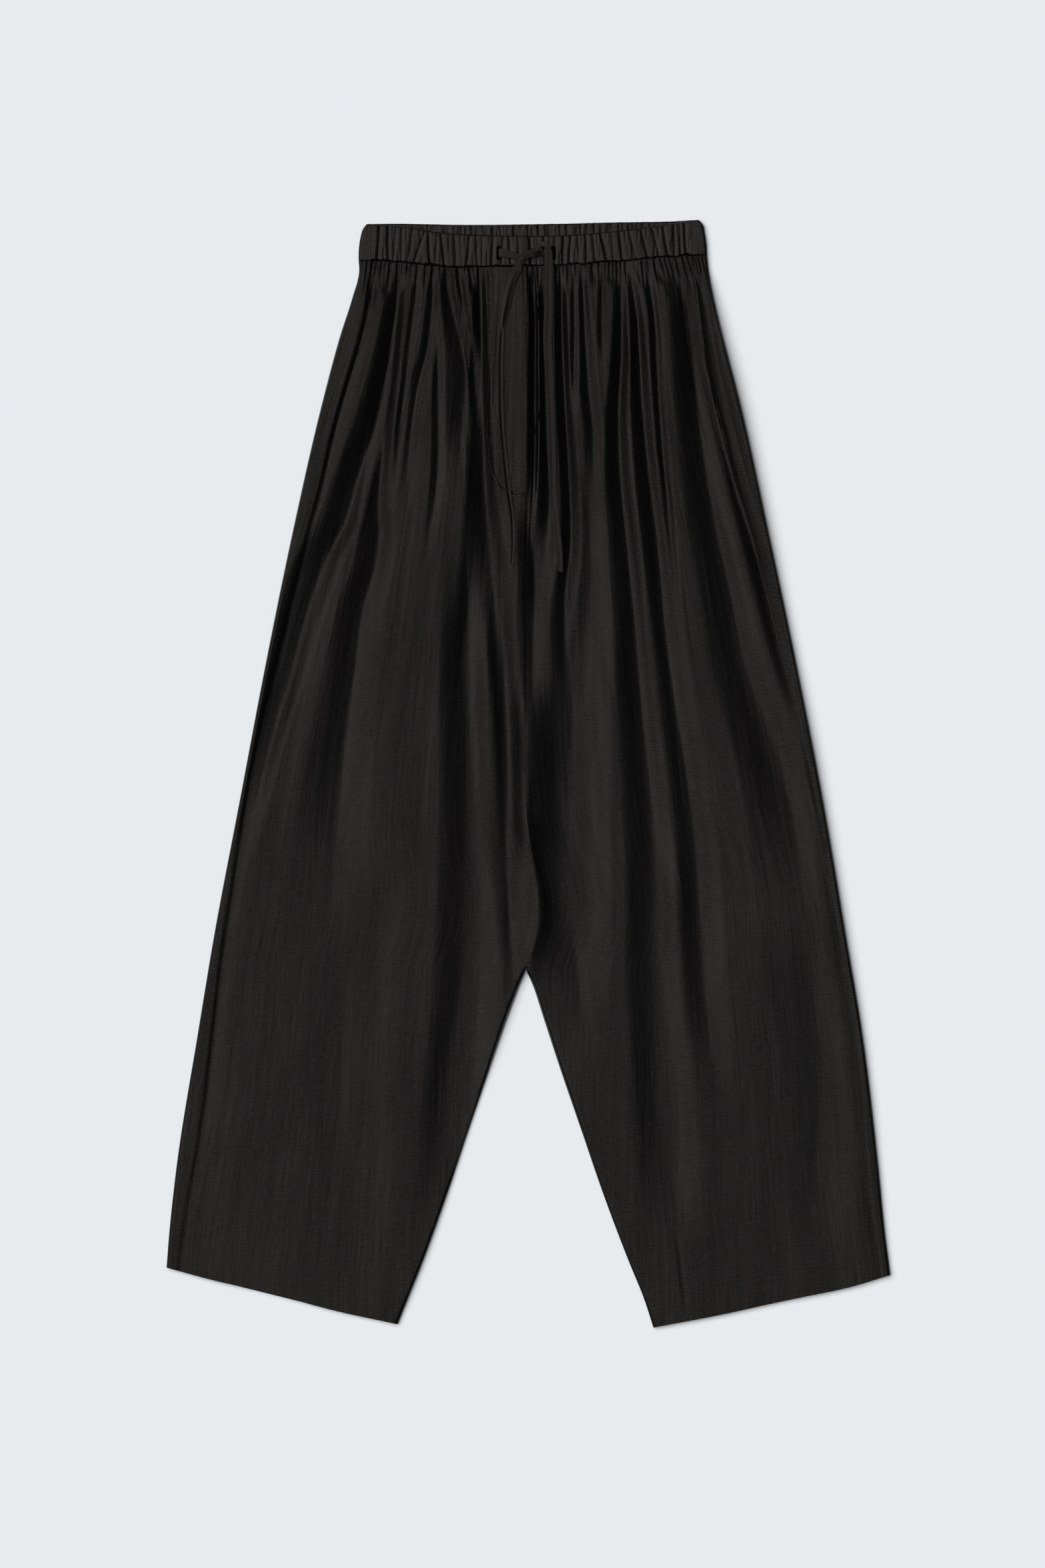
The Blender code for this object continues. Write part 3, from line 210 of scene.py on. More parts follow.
TROUGHS_LEFT = (
    Trough(8.0, (6, 9, 8), 0.35, ((799, 400), (803, 480), (803, 560), (803, 640), (802, 710), (798, 790))),
    Trough(6.0, (6, 12, 22), 0.8, (
        (815, 400), (817, 480), (818, 560), (820, 640), (824, 730), (822, 800), (813, 880), (808, 950),
    )),
    Trough(5.2, (14, 24, 20), 1.4, (
        (790, 740), (798, 820), (803, 880), (800, 950), (800, 1040), (808, 1130),
    )),
    Trough(7.0, (6, 14, 20), 0.7, (
        (842, 400), (843, 500), (847, 600), (853, 700), (856, 820), (848, 900), (850, 1030), (850, 1110),
    )),
    Trough(7.2, (28, 64, 50), 0.5, (
        (860, 860), (863, 930), (861, 1010), (857, 1110), (853, 1200), (853, 1290), (858, 1370),
        (866, 1450), (876, 1540), (886, 1620),
    )),
    Trough(2.4, (4, 5, 5), 0.9, ((862, 400), (862, 520), (860, 640))),
    Trough(4.2, (5, 11, 11), 0.9, ((873, 402), (877, 480), (884, 590), (890, 650), (888, 760))),
    Trough(3.0, (14, 26, 20), 1.2, ((882, 700), (886, 800), (886, 900), (882, 1000), (878, 1080))),
    Trough(2.2, (4, 5, 5), 1.0, ((904, 400), (903, 460), (905, 550))),
    Trough(7.2, (8, 34, 48), 0.6, (
        (932, 402), (932, 540), (928, 620), (930, 700), (943, 840), (952, 930), (965, 1080), (975, 1180),
        (983, 1290), (986, 1420), (994, 1530), (1004, 1650), (1012, 1800), (1016, 1920),
    )),
    Trough(6.4, (7, 28, 34), 0.7, (
        (944, 400), (955, 470), (962, 590), (973, 710), (987, 820), (998, 940), (1017, 1080), (1030, 1160),
        (1042, 1260), (1050, 1370), (1057, 1480), (1068, 1590), (1082, 1700),
    )),
    Trough(3.8, (7, 8, 5), 0.8, ((970, 396), (982, 480), (986, 560), (996, 700), (1008, 820), (1022, 960))),
    Trough(8.6, (20, 38, 64), 0.6, (
        (1004, 392), (1026, 440), (1036, 510), (1046, 610), (1060, 710), (1076, 800), (1096, 890),
        (1118, 1000), (1146, 1080), (1170, 1150), (1188, 1220), (1200, 1300), (1208, 1400),
    )),
    Trough(6.4, (9, 26, 34), 0.6, (
        (1034, 388), (1048, 470), (1061, 556), (1079, 650), (1101, 730), (1136, 840), (1164, 950),
        (1190, 1055), (1206, 1140),
    )),
    Trough(3.0, (60, 80, 60), 0.6, ((1205, 1380), (1222, 1500), (1230, 1600), (1224, 1740), (1208, 1930))),
    Trough(0.6, (4, 5, 4), 0.7, ((1014, 1840), (1020, 1880), (1026, 1930), (1032, 1985))),
    Trough(1.0, (8, 13, 9), 4.0, (
        (800, 1150), (803, 1230), (812, 1280), (824, 1325), (829, 1360), (827, 1395), (812, 1435),
        (797, 1475),
    )),
)
# How a trough begins and ends: its share of depth at the waist seam, and the shares of length it fades over
WAIST_START_DOWN = 410
SEAM_DEPTH = 0.45
SEAM_FADE = 0.1
START_FADE = 0.22
END_FADE = 0.38
END_FADE_MOST = 180.0
ABOVE_START = 12.0
SHADED_REACH = 1.25

# Short gathers under the waist seam: where each starts, where it ends and its depth
Gather = namedtuple("Gather", "across_top across_foot down_foot depth")
GATHERS = rows_of(Gather, (
    (566, 556, 470, 2.2), (576, 570, 440, 1.8), (585, 578, 450, 1.8), (611, 606, 445, 1.8),
    (619, 615, 436, 1.6), (640, 636, 438, 1.4), (676, 677, 430, 1.4), (706, 712, 450, 2.2),
    (806, 806, 455, 2.0), (851, 852, 445, 2.0), (893, 893, 432, 1.4), (913, 914, 428, 1.6),
    (922, 922, 434, 1.8), (956, 962, 430, 1.4), (985, 996, 430, 1.8), (1018, 1032, 430, 1.8),
    (1026, 1048, 450, 2.0),
))
GATHER_WIDTH = 5
GATHER_RISE = 0.9
GATHER_START_DOWN = 398

# Heights in the photograph that the panels start, bend and end at, and how sharply they bend
CROTCH_DOWN = 1454
WAIST_BEND = 8
HEM_BEND = 12
WAIST_END_DOWN = 392
BACK_MIDDLE_DOWN = 381
FRONT_MIDDLE_DOWN = 400
FLY_LAST_LEVEL = 746
PLACKET_BELOW_SEAM = 0.4
BACK_SWELL_TOP = 430
BACK_SWELL_FOOT = 800
# How often the side seam's place on a slanting row is settled
SETTLING_TURNS = 4

# The drawstring tape, as (across, down, width in millimetres), with its level over the band at the knot
Tape = namedtuple("Tape", "across down width level")
TAPE_TO_RIGHT = rows_of(Tape, (
    (752, 380, 8.4, 0), (762, 382, 7.6, 0), (773, 385, 5.2, 0), (784, 384.5, 4.6, 0), (795, 380, 5.0, 0),
    (805, 373.5, 5.0, 0), (813, 367.0, 4.6, 1.3), (819.5, 368.5, 5.0, 2.6), (822, 377, 7.6, 2.6),
    (823, 392, 8.8, 1.9), (823, 420, 8.9, 0), (823, 460, 9.0, 0), (821.5, 508, 9.0, 0), (824, 560, 9.0, 0),
    (826, 620, 9.0, 0), (828, 688, 9.0, 0), (831, 752, 8.6, 0), (836, 800, 7.6, 0), (840, 836, 6.2, 0),
    (841, 858, 5.0, 0),
))
TAPE_TO_LEFT = rows_of(Tape, (
    (827, 380, 7.6, 0), (815, 380.5, 6.2, 0.4), (803, 383, 5.0, 1.8), (792, 385, 4.6, 2.1),
    (784, 387.5, 4.6, 2.3), (779.5, 393, 6.6, 1.2), (777, 402, 8.6, 0.2), (770, 417, 8.8, 0),
    (764, 436, 8.8, 0), (759, 460, 8.6, 0), (755, 482, 5.4, 0), (751.5, 527, 6.0, 0), (751, 577, 6.0, 0),
    (752, 626, 6.0, 0), (757, 688, 6.0, 0), (763, 741, 6.0, 0), (768, 773, 5.8, 0), (769.5, 820, 5.2, 0),
    (768, 846, 4.2, 0),
))
# How the tape settles on the cloth: places looked at across it, the length it bridges, and how far past the
# placket and the waistband it still lies on them
TAPE_SAMPLES = 9
TAPE_BRIDGE = 10.0
PLACKET_MARGIN = 3.0
# The buttonholes, and the tape's turn out of them
SLOT_WIDTH = 1.9
SLOT_HEIGHT = 11.5
SLOT_ASIDE = 2.2
SLOT_TAPE_WIDTH = 8.2
SLOT_DEEP = 2.9
TURN_START = 1.4
TURN_ACROSS = 0.45

# How far the lit side of a trough reaches, as a share of its rise, and how round a trough's foot is
RISE_REACH = 1.7
FOOT_ROUND = 0.9
LATTICE = 97


def x_of(across):
    """The x in millimetres of a place across the photograph."""
    return (across - MIDDLE_ACROSS) * PIXEL


def height_of(down):
    """The y in millimetres of a height in the photograph."""
    return (MIDDLE_DOWN - down) * PIXEL


def down_of(y):
    """The height in the photograph of a y in millimetres."""
    return MIDDLE_DOWN - y / PIXEL


def from_photo(points):
    """The (x, y) in millimetres of points given as (across, down) in the photograph."""
    places = np.array(points, float)
    return np.column_stack((x_of(places[:, 0]), height_of(places[:, 1])))


def by_height(rows, down):
    """The value at each height in the photograph, from rows of (down, value)."""
    return np.interp(down, *np.transpose(rows))


def ease(share):
    """A smooth step from 0 to 1."""
    kept = np.clip(share, 0, 1)
    return kept * kept * (3 - 2 * kept)


def valley(offset, half_width):
    """A sharp-footed dip of depth 1."""
    share = np.clip(np.abs(offset) / half_width, 0, 1)
    return (1 - share) ** 2 * (1 + 0.5 * share)


def smooth_through(knots, values):
    """A smooth function through the values at rising knots, held at its end values."""
    knots = np.asarray(knots, float)
    values = np.asarray(values, float)
    slopes = np.gradient(values, knots)

    def at(place):
        kept = np.clip(place, knots[0], knots[-1])
        index = np.clip(np.searchsorted(knots, kept) - 1, 0, len(knots) - 2)
        span = knots[index + 1] - knots[index]
        share = (kept - knots[index]) / span
        cube = share * share * share
        square = share * share
        return (
            (2 * cube - 3 * square + 1) * values[index]
            + (cube - 2 * square + share) * span * slopes[index]
            + (3 * square - 2 * cube) * values[index + 1]
            + (cube - square) * span * slopes[index + 1]
        )

    return at


def line_down(points):
    """The place across of a line that runs down the photograph, as a function of y."""
    places = from_photo(points)[::-1]
    return smooth_through(places[:, 1], places[:, 0])


def line_across(points):
    """The y of a line that runs across the photograph, as a function of x."""
    return smooth_through(*from_photo(points).T)


def span_of(line):
    """y at the upper and at the lower end of a line."""
    return height_of(line[0][1]), height_of(line[-1][1])


def gone_along(places):
    """How far along a line of places each of them lies."""
    return np.concatenate(([0], np.cumsum(np.linalg.norm(np.diff(places, axis=0), axis=1))))


loft_at = smooth_through(*np.transpose(LOFT))
centre_front = line_down(CENTRE_FRONT)
centre_back = line_down(CENTRE_BACK)
fly_edge = line_down(FLY_EDGE)
low_front = line_across(BAND_LOW_FRONT)
high_front = line_across(BAND_HIGH_FRONT)
low_back = line_across(BAND_LOW_BACK)
high_back = line_across(BAND_HIGH_BACK)
CROTCH = height_of(CROTCH_DOWN)
FRONT_START = low_front(centre_front(height_of(FRONT_MIDDLE_DOWN))) - SEAM_GAP

Leg = namedtuple("Leg", "name outline side_seam inseam hem hem_inner hem_outer outer_sign")


def leg_of(name, outline, side_seam, inseam, hem, outer_sign):
    """The lines of one leg, with y at the inner and at the outer end of its hem."""
    lines = (line_down(line) for line in (outline, side_seam, inseam))
    return Leg(name, *lines, line_across(hem), *span_of(hem)[::outer_sign], outer_sign)


RIGHT_LEG = leg_of("right", OUTLINE_RIGHT, SIDE_SEAM_RIGHT, INSEAM_RIGHT, HEM_RIGHT, -1)
LEFT_LEG = leg_of("left", OUTLINE_LEFT, SIDE_SEAM_LEFT, INSEAM_LEFT, HEM_LEFT, 1)
LEGS = (RIGHT_LEG, LEFT_LEG)


def lattice_noise(across, along, seed):
    """Smooth noise from -1 to 1, with one random value at each whole number of across and along."""
    table = np.random.default_rng(seed).uniform(-1, 1, (LATTICE, LATTICE))
    column = np.floor(across).astype(int)
    row = np.floor(along).astype(int)
    to_right = ease(across - column)
    to_next = ease(along - row)

    def corner(right, down):
        return table[(row + down) % LATTICE, (column + right) % LATTICE]

    near = corner(0, 0) + (corner(1, 0) - corner(0, 0)) * to_right
    far = corner(0, 1) + (corner(1, 1) - corner(0, 1)) * to_right
    return near + (far - near) * to_next


def back_thickness(y):
    """Thickness of the back layer, which gathers make thicker towards the waist."""
    foot = height_of(BACK_SWELL_FOOT)
    return CLOTH + GATHERED_BACK * ease((y - foot) / (height_of(BACK_SWELL_TOP) - foot))


def trough_profile(offset, shaded, rise):
    """1 at the foot of the trough, down to 0 over the shaded slope on one side and the rise on the other."""
    reach = np.where(offset < 0, shaded * SHADED_REACH, rise * RISE_REACH)
    distance = np.sqrt(offset**2 + FOOT_ROUND**2) - FOOT_ROUND
    share = np.clip(distance / reach, 0, 1)
    slope = (1 - share) ** 1.5 * (1 + 0.5 * share)
    lip = (1 - share) ** 2 * (1 + share)
    return np.where(offset < 0, slope, lip)


def trough_depth(trough, middle, x, y):
    """How far one trough lowers the cloth at each place. middle is its foot's place across at a height."""
    top, foot = span_of(trough.line)
    along = np.clip((top - y) / (top - foot), 0, 1)
    shaded = np.interp(along, (0, 0.5, 1), trough.shaded) * PIXEL
    if trough.line[0][1] < WAIST_START_DOWN:
        start = SEAM_DEPTH + (1 - SEAM_DEPTH) * ease(along / SEAM_FADE)
    else:
        start = ease(along / START_FADE)
    last = min(END_FADE, END_FADE_MOST / (top - foot))
    fade = start * (1 - ease((along - 1 + last) / last))
    return trough.depth * fade * trough_profile(x - middle(y), shaded, shaded * trough.rise)


def as_trough(gather):
    """A short gather written as a trough with one width."""
    line = ((gather.across_top, GATHER_START_DOWN), (gather.across_foot, gather.down_foot))
    return Trough(gather.depth, (GATHER_WIDTH,) * 3, GATHER_RISE, line)


ALL_TROUGHS = tuple(
    (trough, line_down(trough.line)) for trough in (*TROUGHS_RIGHT, *TROUGHS_LEFT, *map(as_trough, GATHERS))
)


def all_troughs(x, y):
    """How far all the troughs together lower the cloth at each place."""
    flat_x, flat_y = (values.ravel() for values in np.broadcast_arrays(x, y))
    total = np.zeros(flat_x.shape)
    for trough, middle in ALL_TROUGHS:
        top, foot = span_of(trough.line)
        widest = max(trough.shaded) * PIXEL * max(SHADED_REACH, RISE_REACH * trough.rise)
        near = (flat_y >= foot) & (flat_y <= top + ABOVE_START)
        near[near] = np.abs(flat_x[near] - middle(flat_y[near])) < widest
        total[near] += trough_depth(trough, middle, flat_x[near], flat_y[near])
    return total.reshape(np.broadcast(x, y).shape)


def inner_edge(leg, y, centre):
    """The place across of a leg's inner edge: the centre seam above the crotch and the inseam below it."""
    return np.where(y >= CROTCH, centre(np.maximum(y, CROTCH)), leg.inseam(np.minimum(y, CROTCH)))


def leg_share(leg, x, y):
    """Share of the way from the pants' middle to a leg's side seam. Lines of one share fan out downwards."""
    middle = centre_front(np.maximum(y, CROTCH))
    return (x - middle) / (leg.side_seam(y) - middle)


# Small folds of the cloth: how many lie across a leg's front, how long they are, how much of each is a ridge
# and how high they are at each height
Folds = namedtuple("Folds", "seed count length ridged heights")
SMALL_FOLDS = (
    Folds(11, 8, 300, 0.0, ((400, 0.1), (520, 0.3), (900, 0.5), (1400, 0.45), (1990, 0.35))),
    Folds(29, 15, 420, 0.2, ((400, 0.05), (700, 0.12), (1100, 0.2), (1990, 0.2))),
    Folds(23, 24, 190, 0.5, ((400, 0.3), (520, 0.3), (800, 0.22), (1200, 0.13), (1990, 0.08))),
    Folds(37, 44, 60, 0.5, ((400, 0.3), (440, 0.25), (520, 0.15), (700, 0.08), (1990, 0.03))),
    Folds(47, 60, 160, 0.3, ((400, 0.1), (700, 0.1), (1200, 0.07), (1990, 0.045))),
    Folds(41, 14, 34, 0.4, ((400, 0.02), (900, 0.05), (1300, 0.08), (1990, 0.09))),
    Folds(53, 22, 7, 0.3, ((400, 0.0), (1100, 0.02), (1500, 0.05), (1990, 0.06))),
)
# Seeds of the other noises
SCALLOP_SEEDS = (61, 62)
PLACKET_SEED = 67
BACK_SEEDS = (71, 72, 75)
BAND_SEEDS = (81, 82, 83)
BACK_BAND_SEEDS = (91, 92)
# Added to a seed for the slow bending of its folds
BEND_SEED = 500
FOLD_BEND = 0.5
# Raised lines, each with its height, its width on either side in pixels and its line
Ridge = namedtuple("Ridge", "height left right line")
RIDGES = (
    Ridge(0.9, 2.2, 2.2, ((682, 425), (686, 460), (692, 500), (697, 530), (701, 560), (705, 620))),
    Ridge(0.6, 1.8, 1.8, ((694, 590), (696, 620), (699, 660), (698, 700))),
    Ridge(0.8, 2.0, 2.0, ((808, 470), (806, 560), (800, 660), (795, 760), (790, 860))),
    Ridge(0.7, 1.8, 1.8, ((1042, 470), (1052, 520), (1066, 580), (1082, 640), (1092, 680), (1101, 716))),
    Ridge(0.6, 1.6, 1.6, ((555, 470), (549, 500), (543, 516), (533, 545))),
    Ridge(0.5, 1.8, 1.8, ((652, 470), (646, 520), (634, 580), (622, 640))),
    Ridge(3.6, 26, 60, (
        (789, 1195), (793, 1240), (800, 1290), (807, 1335), (808, 1380), (799, 1430), (791, 1480),
    )),
)
# Soft swells between the long troughs, and dips where the height is under 0
SWELLS = (
    Ridge(4.0, 25, 54, ((790, 1000), (789, 1100), (790, 1180), (793, 1240), (800, 1300))),
    Ridge(-4.0, 40, 30, (
        (882, 850), (885, 950), (889, 1060), (889, 1180), (889, 1300), (891, 1400), (896, 1500),
    )),
)
RIDGE_FADE = 0.25
LEAST_LIFT = 0.12
# Pleats that the gathering presses in just under the waist seam
PLEATS = rows_of(Gather, (
    (545, 541, 440, 0.7), (551, 546, 452, 1.0), (559, 552, 450, 1.1), (566, 557, 432, 0.7),
    (573, 568, 436, 0.8), (579, 574, 428, 0.6), (586, 580, 450, 1.0), (598, 594, 470, 1.3),
    (604, 601, 430, 0.7), (612, 608, 440, 0.9), (618, 614, 434, 0.7), (627, 622, 452, 1.0),
    (640, 637, 436, 0.6), (650, 646, 450, 1.0), (661, 660, 426, 0.5), (669, 671, 446, 1.0),
    (675, 678, 430, 0.7), (687, 690, 448, 0.8), (697, 702, 436, 0.8), (704, 710, 440, 1.0),
    (711, 714, 432, 0.8), (719, 720, 460, 1.1), (792, 792, 450, 1.0), (801, 802, 446, 1.0),
    (808, 808, 450, 1.1), (815, 815, 430, 0.7), (835, 835, 450, 1.1), (840, 841, 436, 0.8),
    (846, 847, 430, 0.7), (852, 853, 442, 0.9), (858, 859, 426, 0.6), (864, 866, 444, 0.9),
    (878, 879, 424, 0.5), (889, 890, 430, 0.7), (899, 899, 448, 1.0), (909, 909, 424, 0.5),
    (915, 915, 434, 0.9), (920, 921, 430, 0.8), (926, 927, 436, 0.9), (932, 932, 426, 0.6),
    (939, 941, 446, 0.9), (952, 954, 424, 0.5), (964, 968, 450, 1.1), (973, 977, 424, 0.5),
    (983, 989, 438, 0.8), (994, 1001, 430, 0.7), (1001, 1009, 424, 0.6), (1008, 1019, 440, 0.9),
    (1017, 1026, 428, 0.6), (1028, 1040, 444, 1.0), (1036, 1046, 430, 0.7), (1043, 1053, 440, 0.9),
    (1051, 1058, 426, 0.6), (1057, 1066, 440, 0.8),
))
PLEAT_WIDTH = 2.3
PLEAT_SHARE = 1.8
PLEAT_LIFT = 0.9
PLEAT_LIFT_FOOT = 455
# The waist seam wanders a little: how far, over which lengths, and how far down the panels follow it
SEAM_WAVES = ((0.9, 11.0, 64), (0.6, 4.0, 65))
SEAM_FOLLOWS = 16.0
# The groove of the side seam grows shallow below the hip, and the inseam's fold is narrower than its roll
SEAM_GROOVE = ((400, 0.9), (650, 0.9), (800, 0.5), (2000, 0.35))
ROLL_SHARE = 0.45


def small_folds(x, y):
    """Height of the small folds, which fan out with the cloth from the waist."""
    middle = centre_front(np.maximum(y, CROTCH))
    lift = np.zeros(np.broadcast(x, y).shape)
    for leg in LEGS:
        share = leg_share(leg, x, y)
        total = np.zeros(lift.shape)
        for folds in SMALL_FOLDS:
            seed = folds.seed + leg.outer_sign
            across = share * folds.count
            along = y / folds.length
            across = across + FOLD_BEND * lattice_noise(across / 4, along / 2, seed + BEND_SEED)
            wave = lattice_noise(across, along, seed)
            ridge = 1 - 2 * np.abs(wave) ** 0.8
            total += by_height(folds.heights, down_of(y)) * (wave + folds.ridged * (ridge - wave))
        lift = lift + np.where(leg.outer_sign * (x - middle) > 0, total, 0)
    return lift


def all_ridges(x, y):
    """How far the ridges and swells raise the cloth at each place."""
    total = np.zeros(np.broadcast(x, y).shape)
    for ridge in RIDGES + SWELLS:
        top, foot = span_of(ridge.line)
        along = np.clip((top - y) / (top - foot), 0, 1)
        fade = ease(along / RIDGE_FADE) * ease((1 - along) / RIDGE_FADE)
        offset = (x - line_down(ridge.line)(y)) / PIXEL
        share = np.clip(np.abs(offset) / np.where(offset < 0, ridge.left, ridge.right), 0, 1)
        profile = (1 - share) ** 1.5 if ridge in RIDGES else 0.5 + 0.5 * np.cos(math.pi * share)
        total = total + ridge.height * fade * profile
    return total


def pleats(x, y):
    """How far the short pleats under the waist seam lower the cloth, which swells between them."""
    down = down_of(y)
    total = -PLEAT_LIFT * ease((PLEAT_LIFT_FOOT - down) / (PLEAT_LIFT_FOOT - GATHER_START_DOWN))
    for pleat in PLEATS:
        along = np.clip((down - GATHER_START_DOWN) / (pleat.down_foot - GATHER_START_DOWN), -1, 1)
        middle = x_of(pleat.across_top + along * (pleat.across_foot - pleat.across_top))
        depth = PLEAT_SHARE * pleat.depth * ease(1 - np.maximum(along, 0))
        total = total + depth * valley(x - middle, PLEAT_WIDTH)
    return total


def seam_wave(x):
    """How far the waist seam lies over its plain line."""
    return sum(height * lattice_noise(x / length, 0, seed) for height, length, seed in SEAM_WAVES)


def front_top(x, y):
    """Height of the upper face of the front, and of the cloth that the back brings round each side."""
    loft = loft_at(down_of(y))
    lift = loft - all_troughs(x, y) + all_ridges(x, y)
    # The pressed side seams lie a little lower than the cloth beside them.
    groove = np.minimum(GROOVE_DEPTH, GROOVE_SHARE * loft) * by_height(SEAM_GROOVE, down_of(y))
    for leg in LEGS:
        beside = leg.outer_sign * (x - leg.side_seam(y))
        width = np.where(beside > 0, GROOVE_OUTSIDE, GROOVE_INSIDE)
        lift = lift - groove * np.exp(-((beside / width) ** 2))
    lift = 0.5 * (lift + np.sqrt(lift * lift + SOFT_FLOOR * SOFT_FLOOR))
    below = ease((CROTCH + ROLL_START_ABOVE - y) / ROLL_START_LENGTH)
    for leg in LEGS:
        inside = leg.outer_sign * (x - leg.inseam(np.minimum(y, CROTCH)))
        near = np.clip(inside / (ROLL_SHARE * INSEAM_ROLL), 0, 1)
        rolled = 1 - below * (1 - np.sin(0.5 * math.pi * near))
        lift = lift * np.where(leg.outer_sign * (x - centre_back(CROTCH)) > 0, rolled, 1)
    lift = np.maximum(lift + small_folds(x, y) - pleats(x, y), LEAST_LIFT)
    return back_thickness(y) + SEAM_GAP + CLOTH + lift


def front_under(x, y):
    """Height of the lower face: a wall's thickness square to the slope, and clear of the back layer."""
    slope_x = (front_top(x + SLOPE_STEP, y) - front_top(x - SLOPE_STEP, y)) / (2 * SLOPE_STEP)
    slope_y = (front_top(x, y + SLOPE_STEP) - front_top(x, y - SLOPE_STEP)) / (2 * SLOPE_STEP)
    steepness = np.minimum(np.sqrt(1 + slope_x**2 + slope_y**2), STEEPEST)
    under = front_top(x, y) - CLOTH * steepness
    return np.maximum(under, back_thickness(y) + SEAM_GAP)


# Camera, light and floor

FLOOR_COLOUR = (0.83, 0.856, 0.882, 1)
FLOOR_ROUGHNESS = 0.9
FLOOR_SHINE = 0.1
FLOOR_HALF = 5
ROOM_COLOUR = (0.93, 0.96, 1.0, 1)
ROOM_STRENGTH = 0.05
# Suns, each with its power, where it shines from and how wide it is in degrees
SUNS = (("key", 3.1, (-0.45, 0.2, 1.0), 65), ("side", 0.2, (-1.2, 0.5, 1.0), 20))


def add_object(name, data):
    """A new object in the scene."""
    thing = bpy.data.objects.new(name, data)
    bpy.context.scene.collection.objects.link(thing)
    return thing


def add_camera():
    """A camera straight above, whose frame is the photograph's."""
    data = bpy.data.cameras.new("photo camera")
    data.sensor_fit = "AUTO"
    data.sensor_width = SENSOR
    data.lens = SENSOR * CAMERA_HEIGHT / (PHOTO_LONG_SIDE * PIXEL)
    data.clip_start = 0.05
    data.clip_end = 50
    camera = add_object("photo camera", data)
    x, y = from_photo((PHOTO_MIDDLE,))[0]
    camera.location = (x * METRES, y * METRES, CAMERA_HEIGHT * METRES)
    bpy.context.scene.camera = camera


def add_sun(name, power, place, degrees):
    """A wide sun aimed at the middle of the pants."""
    data = bpy.data.lights.new(name, "SUN")
    data.energy = power
    data.angle = math.radians(degrees)
    light = add_object(name, data)
    light.location = place
    toward = -np.array(place)
    flat = math.hypot(toward[0], toward[1])
    light.rotation_euler = (math.atan2(flat, -toward[2]), 0, math.atan2(toward[1], toward[0]) - math.pi / 2)


def add_floor():
    """A plain pale floor just under the cloth."""
    level = FLOOR_LEVEL * METRES
    mesh = bpy.data.meshes.new("floor")
    corners = [(FLOOR_HALF * x, FLOOR_HALF * y, level) for x, y in ((-1, -1), (1, -1), (1, 1), (-1, 1))]
    mesh.from_pydata(corners, [], [(0, 1, 2, 3)])
    material, shader = new_material("floor paper")
    shader.inputs["Base Color"].default_value = FLOOR_COLOUR
    shader.inputs["Roughness"].default_value = FLOOR_ROUGHNESS
    shader.inputs["Specular IOR Level"].default_value = FLOOR_SHINE
    mesh.materials.append(material)
    add_object("floor", mesh)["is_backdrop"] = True


def add_studio():
    """Camera, floor, a wide key light from the upper left and a dim pale room."""
    add_camera()
    add_floor()
    for sun in SUNS:
        add_sun(*sun)
    world = bpy.data.worlds.new("room")
    world.use_nodes = True
    background = world.node_tree.nodes["Background"]
    background.inputs["Color"].default_value = ROOM_COLOUR
    background.inputs["Strength"].default_value = ROOM_STRENGTH
    bpy.context.scene.world = world
    bpy.context.scene.view_settings.view_transform = "Standard"
    bpy.context.scene.view_settings.look = "None"


# Meshes

SHARP_DEGREES = 70


def strip(upper, lower):
    """Triangles between two rows of point numbers, whose counts may differ."""
    upper_shares = np.linspace(0, 1, len(upper))
    lower_shares = np.linspace(0, 1, len(lower))
    faces = []
    i = 0
    j = 0
    while i < len(upper) - 1 or j < len(lower) - 1:
        lower_done = j == len(lower) - 1
        if lower_done or (i < len(upper) - 1 and upper_shares[i + 1] <= lower_shares[j + 1]):
            faces.append((upper[i], lower[j], upper[i + 1]))
            i += 1
        else:
            faces.append((upper[i], lower[j], lower[j + 1]))
            j += 1
    return faces


def grid_faces(numbers):
    """Four-sided faces of a grid of point numbers."""
    corners = (numbers[:-1, :-1], numbers[1:, :-1], numbers[1:, 1:], numbers[:-1, 1:])
    return np.stack([corner.ravel() for corner in corners], axis=1)


def shell(outer, inner):
    """Points and faces of a closed wall between two grids of points, of which the inner may be coarse."""
    numbers = np.arange(outer[:, :, 0].size).reshape(outer.shape[:2])
    inside = numbers.size + np.arange(inner[:, :, 0].size).reshape(inner.shape[:2])
    rims = (
        (numbers[0], inside[0], -1),
        (numbers[-1], inside[-1], 1),
        (numbers[:, 0], inside[:, 0], 1),
        (numbers[:, -1], inside[:, -1], -1),
    )
    triangles = [face[::way] for upper, lower, way in rims for face in strip(upper.tolist(), lower.tolist())]
    points = np.concatenate((outer.reshape(-1, 3), inner.reshape(-1, 3)))
    quads = np.concatenate((grid_faces(numbers), grid_faces(inside)[:, ::-1]))
    return points, quads, np.array(triangles)


def outward(points, quads, triangles):
    """The faces, turned where needed so that they point out of the solid."""
    corners = np.concatenate((quads[:, :3], quads[:, (0, 2, 3)], triangles))
    a, b, c = (points[corners[:, i]] for i in range(3))
    if np.einsum("ij,ij->i", a, np.cross(b, c)).sum() > 0:
        return quads, triangles
    return quads[:, ::-1], triangles[:, ::-1]


